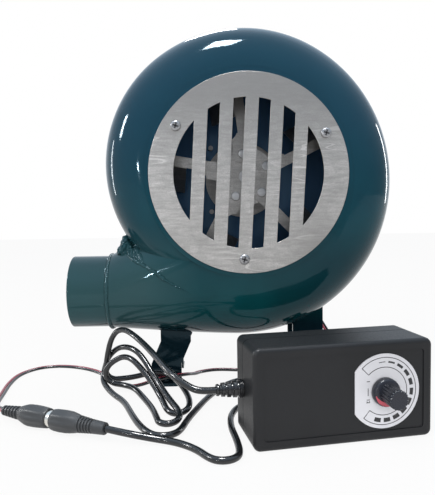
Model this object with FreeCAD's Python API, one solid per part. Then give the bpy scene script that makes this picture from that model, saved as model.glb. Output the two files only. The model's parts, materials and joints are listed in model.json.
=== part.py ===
"""Electric forge blower with its lead, coiled low-voltage cord and dial power adapter (millimetres).

The part stands on the floor, z = 0, with its origin at the centre of the four foot holes.
X points right, Y points to the back and Z points up.  The fan turns about a line along Y.
"""
import FreeCAD, Part
import math
import os

os.makedirs("parts", exist_ok=True)
V = FreeCAD.Vector

# ---- where things stand -------------------------------------------------------------
FOOT_SPACING_X = 116.0      # foot holes, left to right
FOOT_SPACING_Y = 46.5       # foot holes, front to back
AXIS_X = 4.0                # fan axis
FLOOR_CLEARANCE = 49.0      # floor to the bottom of the drum's circle
RUN = 0.03                  # radial clearance of a running fit
SEAT = 0.02                 # radial clearance of a seated piece
GAP = 0.3                   # clearance between pieces that only lie side by side

# ---- fan housing --------------------------------------------------------------------
DRUM_R = 105.0              # nominal outside radius about the fan axis
BULGE_ANGLE = 125.0         # degrees above the right-hand side where the rim's upper and left arcs meet
BULGE_RISE = 1.4            # how far the rim there stands outside the nominal radius
UPPER_DROP = 2.2            # how much smaller than the nominal radius the rim's upper arc is
LEFT_DROP = 8.1             # the same for the rim's left arc, which ends at the tongue
LEFT_END = 300.0            # degrees where the left arc ends, inside the duct
SCROLL_GROWTH = 8.8         # how much larger the scroll's own radius is than the upper arc's
SCROLL_START = 60.0         # degrees above the right-hand side where the scroll begins
HOUSING_DEPTH = 76.0
EDGE_R = 33.0               # rounding from the flat faces to the rim
WALL = 1.5
INLET_R = 52.0
SEAT_RING_WIDTH = 3.0       # raised ring that shows around the guard
SEAT_RING_HEIGHT = 0.8
MOTOR_OPENING_R = 30.0
OUTLET_R = 26.5             # outside radius of the outlet pipe
OUTLET_RISE = 21.0          # pipe centre above the bottom of the drum's circle
OUTLET_WALL = 1.5
OUTLET_STANDOFF = -2.5      # pipe's inner end, left of the drum's circle
OUTLET_LENGTH = 27.0
DUCT_FLARE = 0.5            # the duct's end is this much larger than the pipe
DUCT_TOP_DROP = 16.0        # top of the duct's root below the fan axis
DUCT_SECTIONS = 5
BEAD_R = 1.6                # weld beads
BEAD_SHIFT = 1.6            # ring bead's middle, towards the fan from the pipe's inner end
# outline of the weld that fills the tongue's corner, from the top of the pipe's inner end, and half its depth
TONGUE_WELD = ((15.0, 16.5), (11.1, 13.0), (8.3, 6.6), (6.2, 2.0), (20.5, 2.0), (20.5, 16.5))
TONGUE_WELD_HALF = 14.0

# ---- inlet guard --------------------------------------------------------------------
GUARD_R = 68.0
GUARD_T = 1.2
GUARD_OPENING_R = 51.0
GUARD_BARS = 5
GUARD_BAR_WIDTH = 9.0
GUARD_TURN = -3.5           # degrees, as fitted
GUARD_SCREW_CIRCLE_R = 58.5
GUARD_SCREWS = 3
SCREW_R = 1.9               # shank of the guard screws
SCREW_HEAD_R = 3.6
SCREW_HEAD_H = 2.2
SCREW_LENGTH = 9.0

# ---- legs ---------------------------------------------------------------------------
LEG_T = 2.5
LEG_WIDTH = 23.0
LEG_SPLAY = 7.5             # how far the top is nearer the middle than the foot
LEG_JOG_TOP = 30.0          # a leg leans outwards between these two heights
LEG_JOG_BOTTOM = 13.0
FOOT_LENGTH = 18.0
FOOT_HOLE_EDGE = 8.0        # hole centre from the foot's free edge
FOOT_HOLE_R = 2.75
FOOT_CORNER_R = 4.0
LEG_FLARE_R = 3.0           # widening where a leg is welded to the housing
LEG_WELD_DROP = 4.7         # end of the widening, below the scroll's lowest point
RIGHT_WELD_RISE = 6.1       # it ends so much higher on the right, where the scroll is smaller
LEG_BEND_R = 3.5            # outside radius of the bend

# ---- motor and its mounting ---------------------------------------------------------
MOUNT_PLATE_R = 42.0
MOUNT_PLATE_T = 2.0
MOUNT_SCREWS = 4
MOUNT_SCREW_CIRCLE_R = 36.0
MOTOR_R = 21.1
MOTOR_LENGTH = 57.0
CAN_WALL = 1.5
MOTOR_BOSS_R = 8.75
MOTOR_BOSS_H = 4.0
MOTOR_SCREW_SPACING = 29.0
MOTOR_SCREW_R = 2.0
END_BELL_LENGTH = 10.0
END_BELL_T = 3.0
REAR_BOSS_H = 3.0
SHAFT_R = 2.5
SHAFT_REACH = 22.0          # front of the motor's mounting face to the shaft's end
BEARING_R = 6.5
BEARING_W = 4.0
MAGNET_T = 3.0
MAGNET_ARC = 120.0
MAGNET_LENGTH = 42.0
CORE_R = 15.5
CORE_LENGTH = 34.0
CORE_SLOTS = 5
SLOT_W = 6.0
SLOT_DEPTH = 8.0
WINDING_R = 14.0
WINDING_H = 6.0
COMMUTATOR_R = 5.0
COMMUTATOR_LENGTH = 8.0
BRUSH_W = 4.0
BRUSH_H = 4.0
BRUSH_LENGTH = 6.0
HOLDER_T = 0.6
TERMINAL_X = 9.0
TERMINAL_W = 4.8
TERMINAL_T = 0.8
TERMINAL_REACH = 6.0

# ---- impeller -----------------------------------------------------------------------
BLADES = 5
BLADE_T = 1.2
DISC_R = 21.5
DISC_T = 1.5
DISC_FRONT = 7.75           # front face of the disc, in front of the housing's middle
RIVET_CIRCLE_R = 16.5
RIVET_R = 2.0
RIVET_HEAD_R = 3.3
RIVET_HEAD_H = 1.2
FIRST_BLADE = 98.0          # degrees
FOOT_INNER_R = 10.5
FOOT_OUTER_R = 32.0
NECK_HALF_W = 6.5
GULLET_R = 9.0
IMPELLER_R = 80.0
WEB_TOP = 1.0               # side of the blade's web where the paddle is folded back
PADDLE_START_R = 44.0
PADDLE_W = 33.0
PADDLE_FOLD = 60.0          # degrees back from the disc's plane
HUB_R = 7.0
HUB_LENGTH = 33.0
HUB_FLANGE_R = 12.0
HUB_FLANGE_T = 2.0
SPIGOT_R = 5.0
SET_SCREW_R = 2.0

# ---- power adapter ------------------------------------------------------------------
ADAPTER_LENGTH = 104.0
ADAPTER_HEIGHT = 56.0
ADAPTER_DEPTH = 39.0
ADAPTER_SPLIT = 24.0        # parting plane, behind the front face
ADAPTER_WALL = 2.2
ADAPTER_YAW = 10.7          # degrees
ADAPTER_X = -1.03           # front left corner on the floor
ADAPTER_Y = -146.7
CASE_EDGE_R = 4.0
CASE_RIM_R = 2.5
PARTING_GROOVE = 0.5        # width and depth of the line between the case's halves
LABEL_INSET = 5.5
LABEL_DEPTH = 0.6
DIAL_INSET = 29.4           # from the adapter's right end
DIAL_R = 21.0
DIAL_FLAT = 17.4
DIAL_T = 0.6
KNOB_R = 8.0
KNOB_TIP_R = 5.4
KNOB_LENGTH = 16.0
KNOB_FLUTES = 18
FLUTE_R = 0.9
FACET_ANGLE = -112.0        # where the coloured facet faces at rest
FACET_START = 1.5           # facet's rim end, in front of the knob's back face
FACET_LENGTH = 11.5
FACET_TIP_DEPTH = 2.8       # how far the facet's front end lies inside the knob's tip
INLAY_T = 0.5
POT_R = 8.2
POT_DEPTH = 7.0
POT_BUSH_R = 3.4
POT_SHAFT_R = 3.0
POT_NUT_R = 5.2
POT_NUT_T = 2.0
BOARD_T = 1.6
BOARD_GAP = 3.0             # board's edge from the case wall
BOARD_BACK = 4.5            # board's rear face in front of the rear wall
BOSS_R = 3.2
BOSS_INSET = 7.5
CASE_SCREW_R = 1.3
CASE_SCREW_HEAD_R = 2.6
CASE_SCREW_HEAD_H = 1.8
CASE_SCREW_LENGTH = 20.0
BLADE_PIN_W = 6.3
BLADE_PIN_T = 1.5
BLADE_PIN_LENGTH = 17.0
BLADE_PIN_PITCH = 12.7
TRANSFORMER_X = 34.0
TRANSFORMER_LENGTH = 24.0
TRANSFORMER_DEPTH = 12.0
TRANSFORMER_HEIGHT = 22.0
CAPACITOR_X = 16.2
CAPACITOR_SPACING = 24.0
CAPACITOR_R = 5.0
CAPACITOR_LENGTH = 16.0
HEAT_SINK_X = 54.0
HEAT_SINK_T = 3.0
HEAT_SINK_DEPTH = 13.0
FIN_PITCH = 6.0
FIN_W = 3.0
FINS = 5
GLAND_LENGTH = 15.5
GLAND_TIP_R = 3.4
GLAND_ROOT_R = 5.3
GLAND_RIBS = 3

# ---- cords --------------------------------------------------------------------------
CORD_R = 2.0                # low-voltage cord of the adapter
LEAD_R = 1.0                # each wire of the motor's twin lead
CONNECTOR_R = 6.8
CONNECTOR_TAIL = V(-153.0, -92.5, CONNECTOR_R)
CONNECTOR_END = V(-83.4, -125.5, CONNECTOR_R)
JACK_LENGTH = 36.0
COLLAR_R = 4.8
COLLAR_LENGTH = 3.5
PLUG_RIB_PITCH = 3.2
BARREL_R = 2.75
HANK_TOP = V(-85.0, -46.0, 49.0)
HANK_TAPER = 0.12           # the hank's top is this share of its base
HANK_BASE = ((-107, -21), (-56, -22), (-35, -70), (-36, -92), (-50, -108), (-58, -98), (-79, -52), (-106, -38))
LEAD_CORRIDOR_Y = -44.0     # the motor's lead runs under the hank behind this line
LEAD_CORRIDOR_H = 2.8
CORRIDOR_REACH = 200.0
LEAD_HUMP_X = -86.0         # and right of this line it rises over a foot
LEAD_HUMP_H = 8.5
CORD_TO_HANK = ((-34, -127.5, 31), (-47, -115, 37), (-58, -94, 41), (-68, -72, 42.3), (-77, -57, 44.2))
CORD_TO_PLUG = (
    (-103, -27, 7.2), (-101.5, -37.5, 4.6), (-93, -51.6, 2.1), (-82, -68, 2.1), (-74, -91, 2.1),
    (-67, -109, 2.1), (-59.3, -122.3, 2.1), (-52.9, -126, 2.1), (-46.2, -124.6, 2.1), (-41.6, -118.6, 2.1),
    (-39, -101, 2.1), (-34, -83, 2.1), (-27, -64, 2.1), (-18.5, -45, 2.1), (-8.5, -28, 2.1), (8, -20.5, 2.1),
    (25, -27, 2.1), (32, -44, 2.1), (25, -61, 2.1), (8, -69.5, 2.1), (-6, -80, 2.1), (-12, -96, 2.1),
    (-12.3, -115, 2.1), (-9.5, -134, 2.1), (-8.5, -150, 2.1), (-11.5, -156.2, 2.1), (-17.6, -158.6, 2.1),
    (-24, -156.2, 2.1), (-32, -143.5, 2.1), (-43, -134.5, 2.1), (-56, -131.6, 3.2), (-70.5, -130.9, 6.0))
# x, y, z of the twin lead's middle, and half the distance between its two wires
LEAD_ROUTE = (
    (4, 106, 151, 9), (7, 111, 138, 6.5), (14, 109, 122, 3), (22, 103, 110, 1.2), (34, 93, 90, 1.2),
    (47, 81, 71, 1.2), (60, 68, 52, 1.2), (72, 55, 34, 1.2), (81, 42, 17, 1.2), (85.5, 29, 5, 1.2),
    (82, 15, 1.1, 1.2), (68, 5, 1.1, 1.2), (46, 0.5, 1.1, 1.2), (22, 0, 1.1, 1.2), (-2, 5, 1.1, 1.2),
    (-20, 8, 1.1, 1.2), (-33, 2, 1.1, 1.2), (-37, -10, 3, 1.2), (-43, -21.5, 6.5, 1.2),
    (-64, -33, 6.5, 1.2), (-75, -36, 3.2, 1.2), (-85, -33, 1.1, 1.2), (-93, -25, 1.1, 1.2),
    (-104, -7, 1.1, 1.2), (-119, 11, 1.1, 1.2), (-136, 22, 1.1, 1.2), (-154, 26, 1.1, 1.2),
    (-169, 20, 1.1, 1.2), (-177.5, 3, 1.1, 1.2), (-177, -20, 1.1, 1.2), (-173, -43, 1.1, 1.2),
    (-169, -65, 1.8, 1.2), (-164.5, -80, 4.5, 1.2))

# ---- places that follow from the sizes above ----------------------------------------
HALF_DEPTH = HOUSING_DEPTH / 2
FOOT_OUT_Y = FOOT_SPACING_Y / 2 + FOOT_HOLE_EDGE            # free edge of a foot
LEG_BACK_Y = FOOT_OUT_Y - FOOT_LENGTH                       # hidden side of a leg's plate
MID_Y = -(LEG_BACK_Y + LEG_T + 1.0)                         # middle of the housing, front to back
AXIS_Z = DRUM_R + FLOOR_CLEARANCE
OUTLET_DROP = DRUM_R - OUTLET_RISE                          # pipe centre below the fan axis
OUTLET_START = DRUM_R + OUTLET_STANDOFF                     # pipe's inner end, left of the fan axis
FAN = V(AXIS_X, MID_Y, AXIS_Z)
BULGE_R = DRUM_R + BULGE_RISE                               # the rim's farthest point from the fan axis
UPPER_R = DRUM_R - UPPER_DROP
LEFT_R = DRUM_R - LEFT_DROP
SCROLL_R = UPPER_R + SCROLL_GROWTH
GUARD_BACK = HALF_DEPTH + SEAT_RING_HEIGHT                  # in front of the housing's middle
MOTOR_FACE = HALF_DEPTH + MOUNT_PLATE_T                     # behind the housing's middle
MOTOR_BACK = MOTOR_FACE + MOTOR_LENGTH
HUB_FRONT = -DISC_FRONT + DISC_T                            # rear face of the impeller's disc
DIAL_X = ADAPTER_LENGTH - DIAL_INSET                        # along the adapter, from its left end
DIAL_Z = ADAPTER_HEIGHT / 2
ADAPTER_CORNER = V(ADAPTER_X, ADAPTER_Y, 0)
BLADE_ANGLES = [FIRST_BLADE - 360.0 / BLADES * i for i in range(BLADES)]
NODES = {}


# ---- helpers ------------------------------------------------------------------------
def polar(radius, degrees, y=0.0):
    """A point around the fan axis, seen from the front, with degrees counted from +X towards +Z."""
    return V(radius * math.cos(math.radians(degrees)), y, radius * math.sin(math.radians(degrees)))


def box(low, high):
    """A box between two corners."""
    return Part.makeBox(high.x - low.x, high.y - low.y, high.z - low.z, low)


def rod(radius, start, end):
    """A round bar between two points."""
    return Part.makeCylinder(radius, (end - start).Length, start, end - start)


def tube(outer, inner, start, end):
    """A round tube between two points."""
    return rod(outer, start, end).cut(rod(inner, start, end))


def along_y(radius, y0, y1, x=0.0, z=0.0):
    """A bar parallel to the fan axis."""
    return rod(radius, V(x, y0, z), V(x, y1, z))


def ring_y(outer, inner, y0, y1):
    """A ring about the fan axis."""
    return along_y(outer, y0, y1).cut(along_y(inner, y0, y1))


def turned_profile(points, origin, direction):
    """Revolve (distance along, radius) pairs about a line."""
    axis = FreeCAD.Vector(direction).normalize()
    side = axis.cross(V(0, 0, 1)).normalize()
    corners = [origin + axis * a + side * r for a, r in points]
    face = Part.Face(Part.makePolygon(corners + corners[:1]))
    return face.revolve(origin, axis, 360)


def turn_y(shape, degrees):
    """Turn a shape about the fan axis, counted as in polar()."""
    copy = shape.copy()
    copy.rotate(V(0, 0, 0), V(0, 1, 0), -degrees)
    return copy


def soften(shape, radius, chosen):
    """Round the edges that a test on the edge's middle and direction picks."""
    edges = []
    for edge in shape.Edges:
        middle = edge.valueAt((edge.FirstParameter + edge.LastParameter) / 2)
        if chosen(middle, edge):
            edges.append(edge)
    return shape.makeFillet(radius, edges) if edges else shape


def save(name, shape, place=None):
    """Move a shape to its place and write it as one node."""
    shape = shape.copy()
    if place is not None:
        shape = place(shape)
    NODES[name] = shape
    shape.exportStep("parts/%s.step" % name)


def at_fan(shape):
    """From the fan's own frame to the part's frame."""
    shape.translate(FAN)
    return shape


def at_adapter(shape):
    """From the adapter's own frame to the part's frame."""
    shape.rotate(V(0, 0, 0), V(0, 0, 1), ADAPTER_YAW)
    shape.translate(ADAPTER_CORNER)
    return shape


def adapter_point(x, y, z):
    """A point of the adapter's own frame in the part's frame."""
    yaw = math.radians(ADAPTER_YAW)
    return ADAPTER_CORNER + V(x * math.cos(yaw) - y * math.sin(yaw), x * math.sin(yaw) + y * math.cos(yaw), z)


# ---- fan housing --------------------------------------------------------------------
def drum_sector(centre, radius, start, end, inset):
    """Part of a drum with rounded edges, between two angles."""
    half = HALF_DEPTH - inset
    edge = EDGE_R - inset
    outer = radius - inset
    bulge = edge * (1 - math.sqrt(0.5))
    out = polar(1, start)

    def point(distance, y):
        return centre + out * distance + V(0, y, 0)

    lines = [
        Part.makeLine(point(0, -half), point(outer - edge, -half)),
        Part.Arc(point(outer - edge, -half), point(outer - bulge, -half + bulge), point(outer, edge - half)).toShape(),
        Part.makeLine(point(outer, edge - half), point(outer, half - edge)),
        Part.Arc(point(outer, half - edge), point(outer - bulge, half - bulge), point(outer - edge, half)).toShape(),
        Part.makeLine(point(outer - edge, half), point(0, half)),
        Part.makeLine(point(0, half), point(0, -half))]
    return Part.Face(Part.Wire(lines)).revolve(centre, V(0, -1, 0), end - start)


def round_ring(x, radius, z):
    """A circle across the duct, cut into the eight edges that a rounded section has."""
    small = 12.0
    marks = [-90 - small]
    for quarter in range(4):
        marks += [-90 + 90 * quarter + small, 90 * quarter - small]

    def point(degrees):
        angle = math.radians(degrees)
        return V(x, radius * math.cos(angle), z + radius * math.sin(angle))

    return Part.Wire([Part.Arc(point(a), point((a + b) / 2), point(b)).toShape() for a, b in zip(marks, marks[1:])])


def rounded_ring(x, half_width, low, high, corner):
    """A rounded rectangle across the duct."""
    edges = []
    centres = (
        (half_width - corner, low + corner), (half_width - corner, high - corner),
        (corner - half_width, high - corner), (corner - half_width, low + corner))
    arcs = []
    for quarter, (y, z) in enumerate(centres):
        angles = [math.radians(-90 + 90 * quarter + step) for step in (0, 45, 90)]
        arcs.append([V(x, y + corner * math.cos(a), z + corner * math.sin(a)) for a in angles])
    for before, arc in zip([arcs[-1]] + arcs[:-1], arcs):
        edges.append(Part.makeLine(before[2], arc[0]))
        edges.append(Part.Arc(*arc).toShape())
    return Part.Wire(edges)


def duct(root_x, root_low, inset):
    """The duct from the scroll's full section to the round end where the pipe starts."""
    end_r = OUTLET_R + DUCT_FLARE
    sections = []
    for step in range(DUCT_SECTIONS - 1):
        share = step / (DUCT_SECTIONS - 1)
        narrowing = share ** 1.6
        half_width = HALF_DEPTH + (end_r - HALF_DEPTH) * narrowing - inset
        low = root_low + (-OUTLET_DROP - end_r - root_low) * share ** 1.3 + inset
        high = -DUCT_TOP_DROP + (-OUTLET_DROP + end_r + DUCT_TOP_DROP) * share - inset
        corner = EDGE_R + (end_r - EDGE_R) * narrowing - inset
        x = root_x + (-OUTLET_START - root_x) * share
        sections.append(rounded_ring(x, half_width, low, high, corner))
    sections.append(round_ring(-OUTLET_START, end_r - inset, -OUTLET_DROP))
    return Part.makeLoft(sections, True, False)


def housing_volume(inset):
    """Outer shape of the housing, or its hollow where inset is the wall."""
    upper = polar(BULGE_R - UPPER_R, BULGE_ANGLE)
    centre = upper + polar(-SCROLL_GROWTH, SCROLL_START)
    scroll = drum_sector(centre, SCROLL_R, -90.0, SCROLL_START, inset)
    top = drum_sector(upper, UPPER_R, SCROLL_START, BULGE_ANGLE, inset)
    side = drum_sector(polar(BULGE_R - LEFT_R, BULGE_ANGLE), LEFT_R, BULGE_ANGLE, LEFT_END, inset)
    return scroll.fuse([top, side, duct(centre.x, centre.z - SCROLL_R, inset)]).removeSplitter()


def guard_screw_angles():
    """Angles of the guard's screws."""
    return [150.0 + GUARD_TURN - 360.0 / GUARD_SCREWS * i for i in range(GUARD_SCREWS)]


def mount_screw_angles():
    """Angles of the screws that hold the motor's plate."""
    return [45.0 + 360.0 / MOUNT_SCREWS * i for i in range(MOUNT_SCREWS)]


def build_housing():
    """Two welded shells, the outlet pipe and the weld beads."""
    outer = housing_volume(0.0)
    hollow = housing_volume(WALL)
    shell = outer.cut(hollow)
    reach = 4 * DRUM_R
    front_half = box(V(-reach, -reach, -reach), V(reach, 0, reach))
    rear_half = box(V(-reach, 0, -reach), V(reach, reach, reach))

    front = shell.common(front_half)
    front = front.fuse(along_y(GUARD_R + SEAT_RING_WIDTH, -GUARD_BACK, -HALF_DEPTH + WALL)).removeSplitter()
    cuts = [along_y(INLET_R, -GUARD_BACK - 1, 0)]
    for angle in guard_screw_angles():
        spot = polar(GUARD_SCREW_CIRCLE_R, angle)
        cuts.append(along_y(SCREW_R + SEAT, -GUARD_BACK - 1, -HALF_DEPTH + 2 * WALL, spot.x, spot.z))
    save("housing_front_shell", front.cut(cuts), at_fan)

    cuts = [along_y(MOTOR_OPENING_R, 1, HALF_DEPTH + 1)]
    for angle in mount_screw_angles():
        spot = polar(MOUNT_SCREW_CIRCLE_R, angle)
        cuts.append(along_y(SCREW_R + SEAT, HALF_DEPTH - 2 * WALL, HALF_DEPTH + 1, spot.x, spot.z))
    save("housing_rear_shell", shell.common(rear_half).cut(cuts), at_fan)

    start = V(-OUTLET_START, 0, -OUTLET_DROP)
    end = V(-OUTLET_START - OUTLET_LENGTH, 0, -OUTLET_DROP)
    save("outlet_pipe", tube(OUTLET_R, OUTLET_R - OUTLET_WALL, start, end), at_fan)

    bead = Part.makeTorus(OUTLET_R + DUCT_FLARE, BEAD_R, start + V(BEAD_SHIFT, 0, 0), V(1, 0, 0))
    bead = bead.cut([outer, rod(OUTLET_R, start, end)])
    pipe_top = start + V(0, -TONGUE_WELD_HALF, OUTLET_R)
    corner = Part.Face(Part.makePolygon([pipe_top + V(x, 0, z) for x, z in TONGUE_WELD + TONGUE_WELD[:1]]))
    corner = corner.extrude(V(0, 2 * TONGUE_WELD_HALF, 0)).cut(outer)
    corner = max(corner.Solids, key=lambda solid: solid.Volume)
    save("weld_beads", Part.makeCompound([max(bead.Solids, key=lambda solid: solid.Volume), corner]), at_fan)
    return outer


def build_guard():
    """The flat grille over the inlet and its pan-head screws."""
    bars = []
    pitch = 2 * GUARD_OPENING_R / (GUARD_BARS + 1)
    for index in range(GUARD_BARS):
        x = -GUARD_OPENING_R + pitch * (index + 1)
        bars.append(box(
            V(x - GUARD_BAR_WIDTH / 2, -GUARD_BACK - GUARD_T, -GUARD_OPENING_R - 1),
            V(x + GUARD_BAR_WIDTH / 2, -GUARD_BACK, GUARD_OPENING_R + 1)))
    guard = ring_y(GUARD_R, GUARD_OPENING_R, -GUARD_BACK - GUARD_T, -GUARD_BACK)
    guard = turn_y(guard.fuse(bars).removeSplitter(), GUARD_TURN)
    holes = []
    screws = []
    for angle in guard_screw_angles():
        spot = polar(GUARD_SCREW_CIRCLE_R, angle)
        holes.append(along_y(SCREW_R + SEAT, -GUARD_BACK - GUARD_T - 1, -GUARD_BACK + 1, spot.x, spot.z))
        screws.append(pan_screw(V(spot.x, -GUARD_BACK - GUARD_T, spot.z), V(0, 1, 0), SCREW_R, SCREW_LENGTH))
    save("inlet_guard", guard.cut(holes), at_fan)
    save("guard_screws", Part.makeCompound(screws), at_fan)


def pan_screw(seat, direction, radius, length, head_r=SCREW_HEAD_R, head_h=SCREW_HEAD_H):
    """A pan-head screw with a cross recess: its head rests on seat and its shank follows direction."""
    axis = FreeCAD.Vector(direction).normalize()
    head = Part.makeCylinder(head_r, head_h, seat, -axis)
    top = seat - axis * head_h
    rim = [edge for edge in head.Edges if abs((edge.CenterOfMass - top).Length) < 1e-6 and len(edge.Vertexes) == 1]
    head = head.makeFillet(head_h * 0.7, rim[:1])
    shank = Part.makeCylinder(radius, length, seat, axis)
    side = axis.cross(V(0.3, 0, 1)).normalize()
    across = axis.cross(side)
    arm = head_r * 0.55
    slot = head_r * 0.16
    recess = []
    for long, short in ((side, across), (across, side)):
        corners = [top + long * (arm * a) + short * (slot * b) for a, b in ((-1, -1), (1, -1), (1, 1), (-1, 1))]
        recess.append(Part.Face(Part.makePolygon(corners + corners[:1])).extrude(axis * (head_h * 0.55)))
    return head.fuse(shank).cut(recess)


def build_legs(outer):
    """Four bent sheet legs, welded under the housing."""
    outer = at_fan(outer.copy())
    for side, side_name in ((-1, "left"), (1, "right")):
        for way, way_name in ((-1, "front"), (1, "rear")):
            save("%s_%s_leg" % (way_name, side_name), leg(side, way, outer))


def leg(side, way, outer):
    """One leg: way is -1 for a front leg and 1 for a rear leg."""
    foot_x = side * FOOT_SPACING_X / 2
    plate_y = way * LEG_BACK_Y
    front = min(plate_y, plate_y + way * LEG_T)
    from_middle = max(abs(front - MID_Y), abs(front + LEG_T - MID_Y)) - (HALF_DEPTH - EDGE_R)
    rise = EDGE_R - math.sqrt(EDGE_R ** 2 - max(from_middle, 0.0) ** 2)
    weld_z = AXIS_Z - SCROLL_R - LEG_WELD_DROP + rise + (RIGHT_WELD_RISE if side > 0 else 0.0)
    top_z = AXIS_Z - DRUM_R * 0.75
    top_x = foot_x - side * LEG_SPLAY
    half = LEG_WIDTH / 2
    turn_z = weld_z - LEG_FLARE_R
    inner = -side
    swing = LEG_FLARE_R * (1 - math.sqrt(0.5))

    def point(x, z):
        return V(x, -2 * FOOT_OUT_Y, z)

    start = point(top_x + inner * half, turn_z)
    end = point(top_x + inner * (half + LEG_FLARE_R), weld_z)
    inner_edge = [point(foot_x + inner * half, 0), point(foot_x + inner * half, LEG_JOG_BOTTOM),
                  point(top_x + inner * half, LEG_JOG_TOP), start]
    outer_edge = [end, point(end.x, top_z), point(top_x - inner * half, top_z),
                  point(top_x - inner * half, LEG_JOG_TOP), point(foot_x - inner * half, LEG_JOG_BOTTOM),
                  point(foot_x - inner * half, 0), inner_edge[0]]
    flare = Part.Arc(start, point(start.x + inner * swing, weld_z - swing), end).toShape()
    edges = Part.makePolygon(inner_edge).Edges + [flare] + Part.makePolygon(outer_edge).Edges
    outline = Part.Face(Part.Wire(edges)).extrude(V(0, 4 * FOOT_OUT_Y, 0))
    cut = bent_sheet(way, top_z).common(outline).cut([outer, foot_cuts(foot_x, way)])
    return min(cut.Solids, key=lambda solid: solid.BoundBox.ZMin)


def bent_sheet(way, top_z):
    """The legs' L-shaped sheet section, far wider than one leg."""
    plate_y = way * LEG_BACK_Y
    face_y = plate_y + way * LEG_T
    free_y = way * FOOT_OUT_Y
    bend_y = plate_y + way * LEG_BEND_R
    reach = FOOT_SPACING_X

    def point(y, z):
        return V(-reach, y, z)

    def on_bend(radius):
        return point(bend_y - way * radius * math.sqrt(0.5), LEG_BEND_R - radius * math.sqrt(0.5))

    section = [
        Part.makeLine(point(free_y, 0), point(bend_y, 0)),
        Part.Arc(point(bend_y, 0), on_bend(LEG_BEND_R), point(plate_y, LEG_BEND_R)).toShape(),
        Part.makeLine(point(plate_y, LEG_BEND_R), point(plate_y, top_z)),
        Part.makeLine(point(plate_y, top_z), point(face_y, top_z)),
        Part.makeLine(point(face_y, top_z), point(face_y, LEG_BEND_R)),
        Part.Arc(point(face_y, LEG_BEND_R), on_bend(LEG_BEND_R - LEG_T), point(bend_y, LEG_T)).toShape(),
        Part.makeLine(point(bend_y, LEG_T), point(free_y, LEG_T)),
        Part.makeLine(point(free_y, LEG_T), point(free_y, 0))]
    return Part.Face(Part.Wire(section)).extrude(V(2 * reach, 0, 0))


def foot_cuts(foot_x, way):
    """The foot's bolt hole and what its two rounded corners remove."""
    free_y = way * FOOT_OUT_Y
    cut = rod(FOOT_HOLE_R, V(foot_x, way * FOOT_SPACING_Y / 2, -1), V(foot_x, way * FOOT_SPACING_Y / 2, LEG_T + 1))
    for side in (-1, 1):
        x = foot_x + side * (LEG_WIDTH / 2 - FOOT_CORNER_R)
        y = free_y - way * FOOT_CORNER_R
        x0, x1 = sorted((x, x + side * (FOOT_CORNER_R + 1)))
        y0, y1 = sorted((y, y + way * (FOOT_CORNER_R + 1)))
        corner = box(V(x0, y0, -1), V(x1, y1, LEG_T + 1))
        cut = cut.fuse(corner.cut(rod(FOOT_CORNER_R, V(x, y, -2), V(x, y, LEG_T + 2))))
    return cut


# ---- motor --------------------------------------------------------------------------
def motor_screw_places():
    """Both motor screws, left and right of the shaft."""
    return [V(side * MOTOR_SCREW_SPACING / 2, 0, 0) for side in (-1, 1)]


def build_motor():
    """Everything of the motor that stands still, and the plate that carries it."""
    face = MOTOR_FACE
    inner_r = MOTOR_R - CAN_WALL
    plate = ring_y(MOUNT_PLATE_R, MOTOR_BOSS_R + SEAT, HALF_DEPTH, face)
    holes = [along_y(MOTOR_SCREW_R + SEAT, HALF_DEPTH - 1, face + 1, spot.x) for spot in motor_screw_places()]
    plate_screws = []
    for angle in mount_screw_angles():
        spot = polar(MOUNT_SCREW_CIRCLE_R, angle)
        holes.append(along_y(SCREW_R + SEAT, HALF_DEPTH - 1, face + 1, spot.x, spot.z))
        plate_screws.append(pan_screw(V(spot.x, face, spot.z), V(0, -1, 0), SCREW_R, SCREW_LENGTH))
    save("motor_mount_plate", plate.cut(holes), at_fan)
    save("mount_plate_screws", Part.makeCompound(plate_screws), at_fan)

    screws = [pan_screw(spot + V(0, HALF_DEPTH, 0), V(0, 1, 0), MOTOR_SCREW_R, MOUNT_PLATE_T + 2 * CAN_WALL, 3.4, 2.0)
              for spot in motor_screw_places()]
    save("motor_screws", Part.makeCompound(screws), at_fan)

    boss_front = face - MOTOR_BOSS_H
    can = along_y(MOTOR_R, face, MOTOR_BACK).fuse(along_y(MOTOR_BOSS_R, boss_front, face)).removeSplitter()
    cuts = [
        along_y(inner_r, face + CAN_WALL, MOTOR_BACK + 1),
        along_y(BEARING_R + SEAT, boss_front + 1.0, face + CAN_WALL + 1),
        along_y(SHAFT_R + 1.0, boss_front - 1, face)]
    cuts += [along_y(MOTOR_SCREW_R + SEAT, face - 1, face + CAN_WALL + 1, spot.x) for spot in motor_screw_places()]
    save("motor_can", can.cut(cuts), at_fan)
    save("front_bearing", ring_y(BEARING_R, SHAFT_R + RUN, boss_front + 1.0, boss_front + 1.0 + BEARING_W), at_fan)

    build_end_bell(inner_r)
    magnets = ring_y(inner_r - SEAT, inner_r - MAGNET_T, magnet_start(), magnet_start() + MAGNET_LENGTH)
    save("motor_magnets", Part.makeCompound([sector_of(magnets, 90.0), sector_of(magnets, -90.0)]), at_fan)


def magnet_start():
    """Front end of the magnets, centred on the motor's length."""
    return MOTOR_FACE + (MOTOR_LENGTH - MAGNET_LENGTH) / 2 - CAN_WALL


def sector_of(shape, middle):
    """The stretch of a ring that a magnet covers."""
    bounds = shape.BoundBox
    edge = MAGNET_ARC / 2
    reach = 3 * bounds.XMax
    corners = [V(0, bounds.YMin - 1, 0)]
    corners += [polar(reach, middle + step, bounds.YMin - 1) for step in (-edge, 0, edge)]
    wedge = Part.Face(Part.makePolygon(corners + corners[:1])).extrude(V(0, bounds.YLength + 2, 0))
    return shape.common(wedge).Solids[0]


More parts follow.
